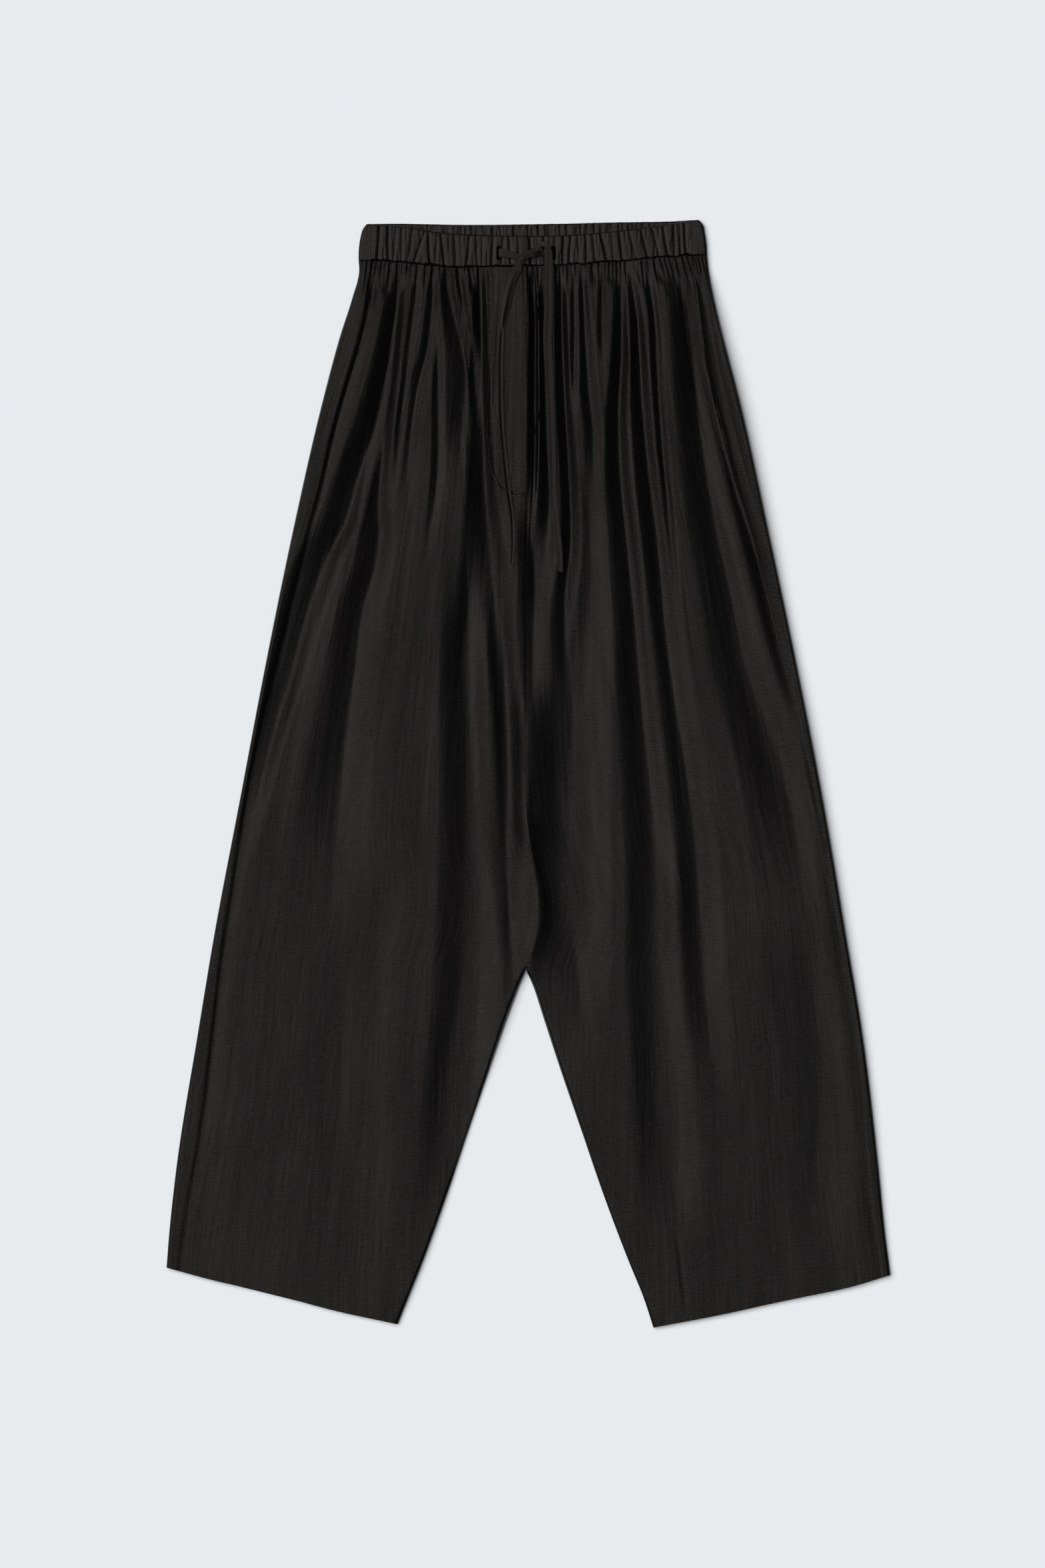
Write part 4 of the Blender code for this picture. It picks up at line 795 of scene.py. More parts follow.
def add_piece(name, wall, grain, material, sharp_degrees=SHARP_DEGREES):
    """A named object in metres, with a map of its grain in metres: across the cloth, and along it."""
    points, quads, triangles = wall
    quads, triangles = outward(points, quads, triangles)
    mesh = bpy.data.meshes.new(name)
    mesh.from_pydata((points * METRES).tolist(), [], quads.tolist() + triangles.tolist())
    mesh.update()
    mesh.shade_smooth()
    mesh.set_sharp_from_angle(angle=math.radians(sharp_degrees))
    layer = mesh.uv_layers.new(name="grain")
    corner_points = np.empty(len(mesh.loops), int)
    mesh.loops.foreach_get("vertex_index", corner_points)
    layer.data.foreach_set("uv", (grain[corner_points] * METRES).astype(np.float32).ravel())
    mesh.materials.append(material)
    piece = add_object(name, mesh)
    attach(piece, "root")
    return piece


def dress(node, wall, grain, material, sharp_degrees=SHARP_DEGREES):
    """The cloth that shows in the place of a node."""
    piece = add_piece(f"{node}_cloth", wall, grain, material, sharp_degrees)
    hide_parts(node)
    return piece


# Materials

SHINE = 0.122
# The drawstring's lower shine stands in for the shade that its tilted faces are in: painted shade
SHADED_TAPE_SHINE = 0.1
THREAD_SHINE = 0.02
THREAD_TWIST = 900
SHINE_TINT = (1.0, 0.93, 0.89, 1)
# Noise of the cloth: its scale across the grain and along it, its detail and its roughness
SLOW = (26, 2.2, 3, 0.55)
PATCH = (34, 5, 3, 0.6)
FINE = (900, 620, 3, 0.6)
STREAK = (260, 20, 4, 0.66)
CRINKLE = (80, 700, 4, 0.66)
# Bumps: how high each stands in metres, and how strong it is
FINE_BUMP = (0.00025, 0.7)
STREAK_BUMP = (0.0007, 0.5)
CRINKLE_BUMP = (0.0011, 0.8)
THREAD_BUMP = (0.00008, 0.7)
# The tint runs from cool to warm over part of the slow noise. The fine noise that raises the weave's bump
# also darkens and lightens it: the weave's uneven tone, with painted shade in its low spots
TINT_STOPS = (0.38, 0.62)
SHADE_STOPS = ((0.3, (0.55, 0.55, 0.55, 1)), (0.7, (1.45, 1.42, 1.38, 1)))
# How much smoother and rougher than its average the cloth gets
SMOOTHER = 0.05
ROUGHER = 0.06


def new_material(name):
    """A material and its shader."""
    material = bpy.data.materials.new(name)
    material.use_nodes = True
    return material, material.node_tree.nodes["Principled BSDF"]


def add_node(tree, kind, output, inputs, **settings):
    """An output of a new node. Each input is a value, or the output that it is linked to."""
    node = tree.nodes.new(f"ShaderNode{kind}")
    for name, value in settings.items():
        setattr(node, name, value)
    for name, value in inputs.items():
        if isinstance(value, bpy.types.NodeSocket):
            tree.links.new(value, node.inputs[name])
        else:
            node.inputs[name].default_value = value
    return node.outputs[output]


def add_ramp(tree, source, stops):
    """Colours between two stops, by the source's value."""
    colours = add_node(tree, "ValToRGB", "Color", {"Fac": source})
    for element, (position, colour) in zip(colours.node.color_ramp.elements, stops):
        element.position = position
        element.color = colour
    return colours


def cloth_material(name, warm, cool, roughness, slub=1.0, shine=SHINE):
    """Black satiny cloth with a fine slub along the grain, a crinkle across it and slow changes of tint."""
    material, shader = new_material(name)
    tree = material.node_tree
    grain = add_node(tree, "UVMap", "UV", {}, uv_map="grain")

    def noise(across, along, detail, rough):
        stretched = add_node(tree, "Mapping", "Vector", {"Vector": grain, "Scale": (across, along, 1)})
        inputs = {"Vector": stretched, "Scale": 1.0, "Detail": detail, "Roughness": rough}
        return add_node(tree, "TexNoise", "Fac", inputs, noise_dimensions="2D")

    def mix(kind, amount, first, second):
        inputs = {"Factor": amount, "A": first, "B": second}
        return add_node(tree, "Mix", "Result", inputs, data_type="RGBA", blend_type=kind)

    fine = noise(*FINE)
    streak = noise(*STREAK)
    tint = add_ramp(tree, noise(*SLOW), zip(TINT_STOPS, ((*cool, 1), (*warm, 1))))
    # The weave's uneven tone, with painted shade where its fine bump is low
    shade = add_ramp(tree, fine, SHADE_STOPS)
    uneven = {
        "Value": mix("MIX", 0.5, streak, fine),
        "From Min": 0.25,
        "From Max": 0.75,
        "To Min": roughness - SMOOTHER,
        "To Max": roughness + ROUGHER,
    }
    bumps = (
        (fine, *FINE_BUMP),
        (streak, *STREAK_BUMP),
        (mix("MULTIPLY", 1.0, noise(*CRINKLE), noise(*PATCH)), *CRINKLE_BUMP),
    )
    under = {}
    for height, distance, strength in bumps:
        inputs = {"Height": height, "Distance": distance * slub, "Strength": strength, **under}
        under = {"Normal": add_node(tree, "Bump", "Normal", inputs)}
    tree.links.new(mix("MULTIPLY", 1.0, tint, shade), shader.inputs["Base Color"])
    tree.links.new(add_node(tree, "MapRange", "Result", uneven), shader.inputs["Roughness"])
    tree.links.new(under["Normal"], shader.inputs["Normal"])
    shader.inputs["Specular IOR Level"].default_value = shine
    shader.inputs["Specular Tint"].default_value = SHINE_TINT
    return material


def thread_material(name, colour, roughness):
    """Twisted sewing thread, with painted shade in the grooves of its twist."""
    material, shader = new_material(name)
    tree = material.node_tree
    grain = add_node(tree, "UVMap", "UV", {}, uv_map="grain")
    twist = {"Vector": grain, "Scale": THREAD_TWIST, "Distortion": 0.6}
    wave = add_node(tree, "TexWave", "Fac", twist, wave_type="BANDS", bands_direction="DIAGONAL")
    # Painted shade: the thread's colour is darkened where the twist's bump is low
    groove_shade = (*(0.6 * np.array(colour)), 1)
    tint = add_ramp(tree, wave, ((0, groove_shade), (1, (*colour, 1))))
    distance, strength = THREAD_BUMP
    relief = add_node(tree, "Bump", "Normal", {"Height": wave, "Distance": distance, "Strength": strength})
    tree.links.new(tint, shader.inputs["Base Color"])
    tree.links.new(relief, shader.inputs["Normal"])
    shader.inputs["Roughness"].default_value = roughness
    shader.inputs["Specular IOR Level"].default_value = THREAD_SHINE
    return material


# Leg panels

FRONT_ROWS = 400
FRONT_FINE_COLUMNS = 224
FRONT_INNER_ROWS = 110
FRONT_INNER_COLUMNS = 64
BACK_ROWS = 230
BACK_FLAT_COLUMNS = 56
BACK_INNER_ROWS = 90
BACK_INNER_COLUMNS = 16
ROLL_STEPS = 12
WRAP_STEPS = 26
PANEL_CUT_WIDTH = 300.0
# How far a coarse inner face keeps below its true height
INNER_CLEAR = 0.15
# The waist seam's scallops: how deep they are, and the lengths over which they and their depth change
SCALLOP = 1.2
SCALLOP_LENGTH = 4.5
SCALLOP_CHANGE = 12
# Gathers and long soft folds in the underside: how many lie across a leg, how long they are, and the same
# for the bending of the gathers
NARROW = (24, 110)
WIDE = (7, 240)
NARROW_BEND = (6, 120)
BEND_SHARE = 0.6
# Their height, and the most that there is room for
BACK_NARROW = ((381, 1.0), (420, 1.5), (640, 0.9), (900, 0.35), (1990, 0.25))
BACK_WIDE = ((381, 0.3), (500, 0.6), (900, 0.6), (1990, 0.45))
BACK_ROOM = ((381, 1.15), (640, 1.15), (800, 0.7), (1990, 0.7))
# A panel's waist seam: its line, and x and y of its inner and outer ends
Waist = namedtuple("Waist", "low start_x start end_x end")


def waist_of(leg, low, start_x, start):
    """The waist seam of a panel, from its inner end to the leg's outline."""
    end_x = leg.outline(height_of(WAIST_END_DOWN))
    return Waist(low, start_x, start, end_x, low(end_x) - SEAM_GAP)


def row_levels(leg, waist, count):
    """For each row, y at the leg's inner edge and at its outer edge, and its share of the way to the hem."""
    share = np.linspace(0, 1, count)
    inner = waist.start + share * (leg.hem_inner - waist.start)
    outer = waist.end + share * (leg.hem_outer - waist.end)
    return inner, outer, share


def bent(x, y, share, waist, leg):
    """Bends straight rows of places to the waist seam's curve at the top and to the hem's at the foot."""
    chord = waist.start + (x - waist.start_x) / (waist.end_x - waist.start_x) * (waist.end - waist.start)
    at_waist = waist.low(x) - SEAM_GAP - chord
    hem_in, hem_out = leg.inseam(leg.hem_inner), leg.outline(leg.hem_outer)
    chord = leg.hem_inner + (x - hem_in) / (hem_out - hem_in) * (leg.hem_outer - leg.hem_inner)
    return y + at_waist * (1 - share) ** WAIST_BEND + (leg.hem(x) - chord) * share**HEM_BEND


def scallop(x, seed):
    """How far an edge along the waist seam draws back between its gathers."""
    wave = np.abs(lattice_noise(x / SCALLOP_LENGTH, 0, seed))
    return SCALLOP * (1 - wave) ** 2 * (0.7 + 0.7 * lattice_noise(x / SCALLOP_CHANGE, 0, seed + 5))


def front_grid(leg, rows, columns):
    """x and y of a grid on the front panel, from the inner edge to the side seam and from waist to hem."""
    waist = waist_of(leg, low_front, centre_front(FRONT_START), FRONT_START)
    inner, outer, share = row_levels(leg, waist, rows)
    x_in = inner_edge(leg, inner, centre_front)
    x_out = leg.outline(outer)
    x_seam = leg.side_seam(outer)
    for _ in range(SETTLING_TURNS):
        x_seam = leg.side_seam(inner + (x_seam - x_in) / (x_out - x_in) * (outer - inner))
    gap = leg.outer_sign * SEAM_GAP / 2
    x_in, x_out, x_seam, inner, outer, share = (
        values[:, None] for values in (x_in + gap, x_out, x_seam - gap, inner, outer, share)
    )
    x = x_in + np.linspace(0, 1, columns) * (x_seam - x_in)
    y = bent(x, inner + (x - x_in) / (x_out - x_in) * (outer - inner), share, waist, leg)
    follows = np.clip(1 - share * (FRONT_START - inner[-1]) / SEAM_FOLLOWS, 0, 1) ** 2
    return x, y + follows * (seam_wave(x) - scallop(x, SCALLOP_SEEDS[0]))


def panel_grain(leg, points):
    """Places on the flat cut of a panel, for the grain of its cloth."""
    x, y, _ = points.T
    return np.column_stack((leg.outer_sign * leg_share(leg, x, y) * PANEL_CUT_WIDTH, y))


def make_front(leg, material):
    """The front of one leg, from the waist seam to the hem."""
    x, y = front_grid(leg, FRONT_ROWS, FRONT_FINE_COLUMNS)
    outer = np.stack((x, y, front_top(x, y)), axis=2)
    x, y = front_grid(leg, FRONT_INNER_ROWS, FRONT_INNER_COLUMNS)
    under = np.maximum(front_under(x, y) - INNER_CLEAR, back_thickness(y) + SEAM_GAP)
    wall = shell(outer, np.stack((x, y, under), axis=2))
    return dress(f"front_{leg.name}", wall, panel_grain(leg, wall[0]), material)


def side_section(x_in, x_edge, seam, sign, flat_steps, y_of, top_of, thick, wall, roll):
    """Outer and inner rows of a layer that lies flat, turns up round the side and ends at the side seam."""
    turn = x_edge - sign * roll
    flat = np.linspace(x_in, turn, flat_steps + 1)
    angles = np.linspace(-0.5 * math.pi, 0.5 * math.pi, ROLL_STEPS + 2)[1:-1]
    wrap = np.linspace(turn, seam[0], WRAP_STEPS + 1)
    y_turn = y_of(turn)
    wrap_y = y_turn + (wrap - turn) / (seam[0] - turn) * (seam[1] - y_turn)
    wrap_z = top_of(wrap, wrap_y)
    high = wrap_z[0]
    heights = (
        (roll, np.zeros(len(flat)), high / 2 * (1 + np.sin(angles)), wrap_z),
        (
            roll - wall,
            np.full(len(flat), thick),
            (thick + high - wall) / 2 + (high - wall - thick) / 2 * np.sin(angles),
            np.full(len(wrap), thick),
        ),
    )
    rows = []
    for reach, *z in heights:
        x = np.concatenate((flat, turn + sign * reach * np.cos(angles)))
        rows.append(np.column_stack((np.append(x, wrap), np.append(y_of(x), wrap_y), np.concatenate(z))))
    return rows


def back_sections(leg, waist, rows, flat_steps):
    """The outer rows of the back of one leg, from waist to hem, and the inner rows."""
    sign = leg.outer_sign
    seam_x, seam_y = (values[:, -1] for values in front_grid(leg, rows, 2))
    sections = []
    for y_in, y_out, share, x_seam, y_seam in zip(*row_levels(leg, waist, rows), seam_x, seam_y):
        x_in = inner_edge(leg, y_in, centre_back) + sign * SEAM_GAP / 2
        x_edge = leg.outline(y_out)

        def y_of(x):
            line = y_in + (x - x_in) / (x_edge - x_in) * (y_out - y_in)
            return bent(x, line, share, waist, leg)

        ends = (x_in, x_edge, (x_seam + sign * SEAM_GAP, y_seam), sign, flat_steps)
        sections.append(side_section(*ends, y_of, front_top, back_thickness(y_in), CLOTH, SIDE_ROLL))
    return (np.array(sheet) for sheet in zip(*sections))


def make_back(leg, material):
    """The back of one leg: flat below, gathered under the waist and turned round the side to the front."""
    start_x = centre_back(height_of(BACK_MIDDLE_DOWN))
    waist = waist_of(leg, low_back, start_x, low_back(start_x) - SEAM_GAP)
    outer, _ = back_sections(leg, waist, BACK_ROWS, BACK_FLAT_COLUMNS)
    _, inner = back_sections(leg, waist, BACK_INNER_ROWS, BACK_INNER_COLUMNS)
    wrapped = inner[:, -WRAP_STEPS - 1 :]
    wrapped[:, :, 2] = front_under(wrapped[:, :, 0], wrapped[:, :, 1]) - INNER_CLEAR
    raise_gathers(outer, leg)
    wall = shell(outer, inner)
    return dress(f"back_{leg.name}", wall, panel_grain(leg, wall[0]), material)


def raise_gathers(outer, leg):
    """Presses gathers and long soft folds into the underside, which otherwise rests flat."""
    flat = outer[:, : BACK_FLAT_COLUMNS - 2]
    x, y = flat[:, :, 0], flat[:, :, 1]
    down = down_of(y)
    share = leg_share(leg, x, y)
    bend_seed, narrow_seed, wide_seed = BACK_SEEDS
    bend = lattice_noise(share * NARROW_BEND[0], y / NARROW_BEND[1], bend_seed)
    across = share * NARROW[0] + BEND_SHARE * bend
    narrow = np.maximum(lattice_noise(across, y / NARROW[1], narrow_seed + leg.outer_sign), 0)
    wide = np.maximum(lattice_noise(share * WIDE[0], y / WIDE[1], wide_seed + leg.outer_sign), 0)
    edge = ease(np.minimum(share, 1) / 0.05) * ease((0.97 - share) / 0.08)
    height = by_height(BACK_NARROW, down) * narrow + by_height(BACK_WIDE, down) * wide
    flat[:, :, 2] += np.minimum(height, by_height(BACK_ROOM, down)) * edge


# Fly placket

J_STITCH = ((734, 411), (734, 560), (734, 672), (737, 700), (745, 720), (756, 734), (768, 741), (788, 743))
PLACKET_ROWS = 190
PLACKET_COLUMNS = 44
PLACKET_OVER_FRONT = 0.1
# The stitched line's groove and its half width, and the puckers beside it
STITCH_GROOVE = 0.7
STITCH_GROOVE_REACH = 1.2
PUCKER_REACH = 5.0
PUCKER_HEIGHT = 0.35
PUCKER_WIDTH = 3.5
PUCKER_LENGTH = 2.6


def smooth_line(points, pitch):
    """x and y at an even pitch along a smooth line through the points."""
    places = from_photo(points)
    gone = gone_along(places)
    at = np.arange(pitch / 2, gone[-1], pitch)
    return smooth_through(gone, places[:, 0])(at), smooth_through(gone, places[:, 1])(at)


def placket_grid(rows, columns):
    """x and y of a grid on the placket, from the centre seam to its J-shaped edge."""
    top = FRONT_START - PLACKET_BELOW_SEAM
    y = np.linspace(top, height_of(FLY_LAST_LEVEL), rows)[:, None]
    centre = centre_front(y) - SEAM_GAP / 2
    x = centre + np.linspace(0, 1, columns) * (fly_edge(y) - centre)
    at_waist = low_front(x) - SEAM_GAP - PLACKET_BELOW_SEAM - top
    follows = np.clip(1 - (top - y) / SEAM_FOLLOWS, 0, 1) ** 2
    bend = (1 - np.linspace(0, 1, rows)[:, None]) ** WAIST_BEND
    return x, y + at_waist * bend + follows * seam_wave(x)


def make_placket(material):
    """The mock fly: a thin layer on the right front, up to its J-shaped edge."""
    x, y = placket_grid(PLACKET_ROWS, PLACKET_COLUMNS)
    near = np.min([np.hypot(x - a, y - b) for a, b in zip(*smooth_line(J_STITCH, 1.0))], axis=0)
    wave = lattice_noise(x / PUCKER_WIDTH, y / PUCKER_LENGTH, PLACKET_SEED)
    puckers = PUCKER_HEIGHT * wave * np.clip(1 - near / PUCKER_REACH, 0, 1)
    pressed = STITCH_GROOVE * np.clip(1 - near / STITCH_GROOVE_REACH, 0, 1) - puckers
    outer = np.stack((x, y, front_top(x, y) + SEAM_GAP + PLACKET_WALL - pressed), axis=2)
    x, y = placket_grid(PLACKET_ROWS // 2, PLACKET_COLUMNS // 2)
    wall = shell(outer, np.stack((x, y, front_top(x, y) + PLACKET_OVER_FRONT), axis=2))
    return dress("fly_placket", wall, panel_grain(RIGHT_LEG, wall[0]), material)


# Waistband

BAND_COLUMNS = 760
BAND_ROWS = 44
BAND_INNER_ROWS = 10
BAND_INNER_COLUMNS = 90
BAND_TOP_ROUND = 1.5
BAND_LOW_ROUND = 1.0
FRONT_BAND_SWELL = 1.05
# How much longer the band's cloth is than the band that the elastic draws up
BAND_STRETCH = 1.3
# Depth of each crease of the front band, in the order of FRONT_CREASES, and half the width in pixels
CREASE_DEPTHS = (
    1.5, 1.3, 0.6, 0.8, 0.7, 0.8, 1.4, 0.6, 1.4, 0.9, 0.5, 1.0, 0.7, 0.6, 1.1, 0.6, 0.9, 0.6, 1.5, 0.5, 0.8,
    0.6, 1.5, 1.1, 0.6, 0.9, 0.7, 1.5, 0.5, 1.3, 0.8, 1.1, 0.8, 1.0, 1.3, 0.9, 1.2,
)
CREASE_HALF_WIDTH = 5.5
CREASE_SHARE = 0.75
CREASE_WANDER = 0.5
# Creases that begin only part of the way: the shares of the band's height where each lies
Short = namedtuple("Short", "across low high depth")
SHORT_CREASES = rows_of(Short, (
    (576, 0.0, 0.5, 0.7), (589, 0.5, 1.0, 0.6), (598, 0.0, 0.4, 0.6), (610, 0.5, 1.0, 0.6),
    (617, 0.0, 0.6, 0.6), (630, 0.6, 1.0, 0.6), (634, 0.0, 0.4, 0.5), (650, 0.5, 1.0, 0.6),
    (661, 0.0, 0.5, 0.5), (674, 0.4, 1.0, 0.6), (688, 0.0, 0.5, 0.6), (698, 0.5, 1.0, 0.6),
    (710, 0.0, 0.5, 0.5), (719, 0.5, 1.0, 0.5), (731, 0.0, 0.6, 0.6), (735, 0.6, 1.0, 0.5),
    (760, 0.0, 0.5, 0.6), (771, 0.5, 1.0, 0.6), (789, 0.0, 0.6, 0.6), (802, 0.5, 1.0, 0.6),
    (812, 0.0, 0.5, 0.6), (825, 0.5, 1.0, 0.5), (840, 0.0, 0.5, 0.6), (851, 0.5, 1.0, 0.6),
    (863, 0.0, 0.6, 0.6), (873, 0.5, 1.0, 0.6), (885, 0.0, 0.5, 0.6), (896, 0.4, 1.0, 0.6),
    (909, 0.5, 1.0, 0.6), (926, 0.0, 0.4, 0.6), (938, 0.5, 1.0, 0.7), (949, 0.0, 0.5, 0.6),
    (957, 0.5, 1.0, 0.6), (970, 0.5, 1.0, 0.6), (982, 0.0, 0.5, 0.6), (988, 0.5, 1.0, 0.6),
    (1007, 0.0, 0.6, 0.6), (1017, 0.5, 1.0, 0.6), (1034, 0.0, 0.6, 0.6),
))
SHORT_SHARE = 0.55
SHORT_HALF_WIDTH = 3.6
SHORT_FADE = 0.25
# How deep the band sinks in at a buttonhole, and how far its edges pull in at a crease
SLOT_SINK = 2.6
SLOT_END = 0.6
EDGE_PULL = 0.35
# Shares of the band's height near its edges in which they pull in, scallop and follow the seam's wandering
EDGE_SHARE = 0.2
SCALLOP_SHARE = 0.15
SEAM_WAVE_SHARE = 0.4
# Slow and fine unevenness of the band: its height, its length along the band and its turns up it
BAND_SLOW = (0.18, 9, 3)
BAND_FINE = (0.05, 1.8, 2.2)
WANDER_TURNS = 2.5


def slot_place(route):
    """Middle of the buttonhole that a tape comes out of, just outside the tape's first point."""
    first, second = route[:2]
    aside = -SLOT_ASIDE if second.across > first.across else SLOT_ASIDE
    return x_of(first.across) + aside, height_of(first.down)


def band_front_height(x, share):
    """Height of the front band's upper face over its plain level, with the puckers of the elastic."""
    slow, wander_seed, fine = BAND_SEEDS
    lift = FRONT_BAND_SWELL + BAND_SLOW[0] * lattice_noise(x / BAND_SLOW[1], share * BAND_SLOW[2], slow)
    for crease, depth in zip(FRONT_CREASES, CREASE_DEPTHS):
        top, low = x_of(crease.across_top), x_of(crease.across_low)
        wander = CREASE_WANDER * lattice_noise(share * WANDER_TURNS, crease.across_top, wander_seed)
        offset = x - (low + share * (top - low)) - wander
        lift = lift - CREASE_SHARE * depth * valley(offset, CREASE_HALF_WIDTH * PIXEL)
    for short in SHORT_CREASES:
        inside = ease((share - short.low) / SHORT_FADE + (short.low == 0))
        inside = inside * ease((short.high - share) / SHORT_FADE + (short.high == 1))
        dip = valley(x - x_of(short.across), SHORT_HALF_WIDTH * PIXEL)
        lift = lift - SHORT_SHARE * short.depth * inside * dip
    return lift + BAND_FINE[0] * lattice_noise(x / BAND_FINE[1], share * BAND_FINE[2], fine)


def rounded_edge(share, height, top_round, low_round):
    """How far a folded strip's face falls near its two long edges."""
    from_top = np.clip((1 - share) * height / top_round, 0, 1)
    from_low = np.clip(share * height / low_round, 0, 1)
    fall = top_round * (1 - np.sqrt(1 - (1 - from_top) ** 2))
    return fall + low_round * (1 - np.sqrt(1 - (1 - from_low) ** 2))


def dress_band(node, outer, inner, material):
    """Dresses one half of the waistband."""
    wall = shell(outer, inner)
    grain = wall[0][:, :2] * (BAND_STRETCH, 1)
    return dress(node, wall, grain, material)


def front_band_grid(rows, columns):
    """x, y and the share of its height of a grid on the front band, between the side seams."""
    right_end, left_end = x_of(BAND_SEAMS[0]) + SEAM_GAP / 2, x_of(BAND_SEAMS[1]) - SEAM_GAP / 2
    share = np.linspace(1, 0, rows)[:, None] * np.ones(columns)
    x = np.linspace(right_end, left_end, columns) * np.ones((rows, 1))
    return x, low_front(x) + share * (high_front(x) - low_front(x)), share


def make_front_band(material):
    """The front of the ruched waistband, with its puckers and two upright buttonholes."""
    x, y, share = front_band_grid(BAND_ROWS, BAND_COLUMNS)
    lift = band_front_height(x, share)
    height = high_front(x) - low_front(x)
    z = BAND_TOP + lift - rounded_edge(share, height, BAND_TOP_ROUND, BAND_LOW_ROUND)
    for route in (TAPE_TO_RIGHT, TAPE_TO_LEFT):
        slot_x, slot_y = slot_place(route)
        inside = np.clip(1.5 - np.abs(x - slot_x) / (0.5 * SLOT_WIDTH), 0, 1)
        inside = inside * np.clip((0.5 * SLOT_HEIGHT - np.abs(y - slot_y)) / SLOT_END, 0, 1)
        z = z - SLOT_SINK * ease(inside)
    at_top, at_low = ease((share + EDGE_SHARE - 1) / EDGE_SHARE), ease((EDGE_SHARE - share) / EDGE_SHARE)
    y = y + EDGE_PULL * (lift - FRONT_BAND_SWELL) * (at_top - at_low)
    y = y + ease((SCALLOP_SHARE - share) / SCALLOP_SHARE) * scallop(x, SCALLOP_SEEDS[1])
    y = y + np.clip(1 - share / SEAM_WAVE_SHARE, 0, 1) ** 2 * seam_wave(x)
    inner_x, inner_y, _ = front_band_grid(BAND_INNER_ROWS, BAND_INNER_COLUMNS)
    inner = np.stack((inner_x, inner_y, np.full_like(inner_x, BAND_WALL + SEAM_GAP)), axis=2)
    return dress_band("waistband_front", np.stack((x, y, z), axis=2), inner, material)


BACK_BAND_ROWS = 40
BACK_BAND_FLAT = 190
# The back band's ends rise over the front band's plain face. Its height, the roundings of its outer and inner
# faces at the top and low edges, and how high its puckers stand
BACK_BAND_RISE = 0.5
BACK_BAND_HEIGHT = 30.0
BACK_OUTER_ROUND = (1.1, 0.6)
BACK_INNER_ROUND = (1.0, 0.6)
BACK_PUCKERS = 0.9
BACK_EDGE_PULL = 0.3
# Length of a pucker along the outer and the inner face, and its turns up the band
OUTER_PUCKER = 3.2
INNER_PUCKER = 3.4
PUCKER_TURNS = 1.5


def make_back_band(material):
    """The back of the waistband: flat below, creased inside, and turned round both ends to the side seams."""
    shares, right_ends, left_ends = np.transpose(BAND_ENDS)
    right_seam, left_seam = x_of(BAND_SEAMS[0]) - SEAM_GAP / 2, x_of(BAND_SEAMS[1]) + SEAM_GAP / 2
    ends = (
        (smooth_through(shares, x_of(right_ends)), right_seam, -1),
        (smooth_through(shares, x_of(left_ends)), left_seam, 1),
    )
    rows = []
    for share in np.linspace(1, 0, BACK_BAND_ROWS):

        def y_of(x):
            return low_back(x) + share * (high_back(x) - low_back(x))

        def top_of(x, _):
            return np.full(len(x), BAND_TOP + BACK_BAND_RISE)

        halves = []
        for edge, x_seam, sign in ends:
            seam = (x_seam, low_front(x_seam) + share * (high_front(x_seam) - low_front(x_seam)))
            walls = (BAND_WALL, BAND_WALL, BAND_ROLL)
            below, above = side_section(0, edge(share), seam, sign, BACK_BAND_FLAT, y_of, top_of, *walls)
            above[-WRAP_STEPS - 1 :, 2] = BAND_WALL + SEAM_GAP
            halves.append((below, above))
        rows.append([np.concatenate((right[::-1], left[1:])) for right, left in zip(*halves)])
    outer, inner = (np.array(sheet) for sheet in zip(*rows))
    shape_back_band(outer, inner)
    return dress_band("waistband_back", outer, inner, material)


def shape_back_band(outer, inner):
    """Puckers on the underside and on the inner face, and the rounded fold along the top edge."""
    share = np.linspace(1, 0, len(outer))[:, None] * np.ones(outer.shape[1])
    edge_drop = rounded_edge(share, BACK_BAND_HEIGHT, *BACK_OUTER_ROUND)
    fine = lattice_noise(outer[:, :, 0] / OUTER_PUCKER, share * PUCKER_TURNS, BACK_BAND_SEEDS[0])
    puckers = np.maximum(fine, 0) * BACK_PUCKERS * np.clip(BAND_TOP - outer[:, :, 2], 0, 1)
    on_top = np.clip(outer[:, :, 2] - BAND_WALL, 0, 1)
    outer[:, :, 2] += np.where(outer[:, :, 2] < BAND_WALL, puckers + edge_drop, -edge_drop * on_top)
    wave = lattice_noise(inner[:, :, 0] / INNER_PUCKER, share * PUCKER_TURNS, BACK_BAND_SEEDS[1])
    ridge = 1 - np.abs(wave) ** 0.7
    drop = BACK_PUCKERS * (1 - ridge) + rounded_edge(share, BACK_BAND_HEIGHT, *BACK_INNER_ROUND)
    inner[:, :, 2] -= np.where(inner[:, :, 2] <= BAND_WALL + 0.01, drop, 0)
    inner[:, :, 1] += BACK_EDGE_PULL * wave * ease((share + EDGE_SHARE - 1) / EDGE_SHARE)


# Drawstring

TAPE_SPACING = 1.5
# Half of the flat cross-section, as shares of half the width and half the thickness, from edge to edge
TAPE_RING = (
    (0.97, 0.5), (0.93, 0.95), (0.7, 1.0), (0.45, 1.0), (0.22, 1.0), (0.0, 1.0), (-0.22, 1.0), (-0.45, 1.0),
    (-0.7, 1.0), (-0.93, 0.95), (-0.97, 0.5),
)
TAPE_POINTS = 2 * len(TAPE_RING)
TAPE_SHARP_DEGREES = 38
# How far past its edge the tape feels for what it lies on
TAPE_SIDE = 0.6
# A tape's groove and ridge, as shares of half its width, and the level that they turn about
GROOVE_HALF = 0.5
RIDGE_HALF = 0.8
RIDGE_ASIDE = 0.2
FOLD_MEAN = 0.4
# How much the weave is drawn out over half the tape's width
TAPE_GRAIN = 4
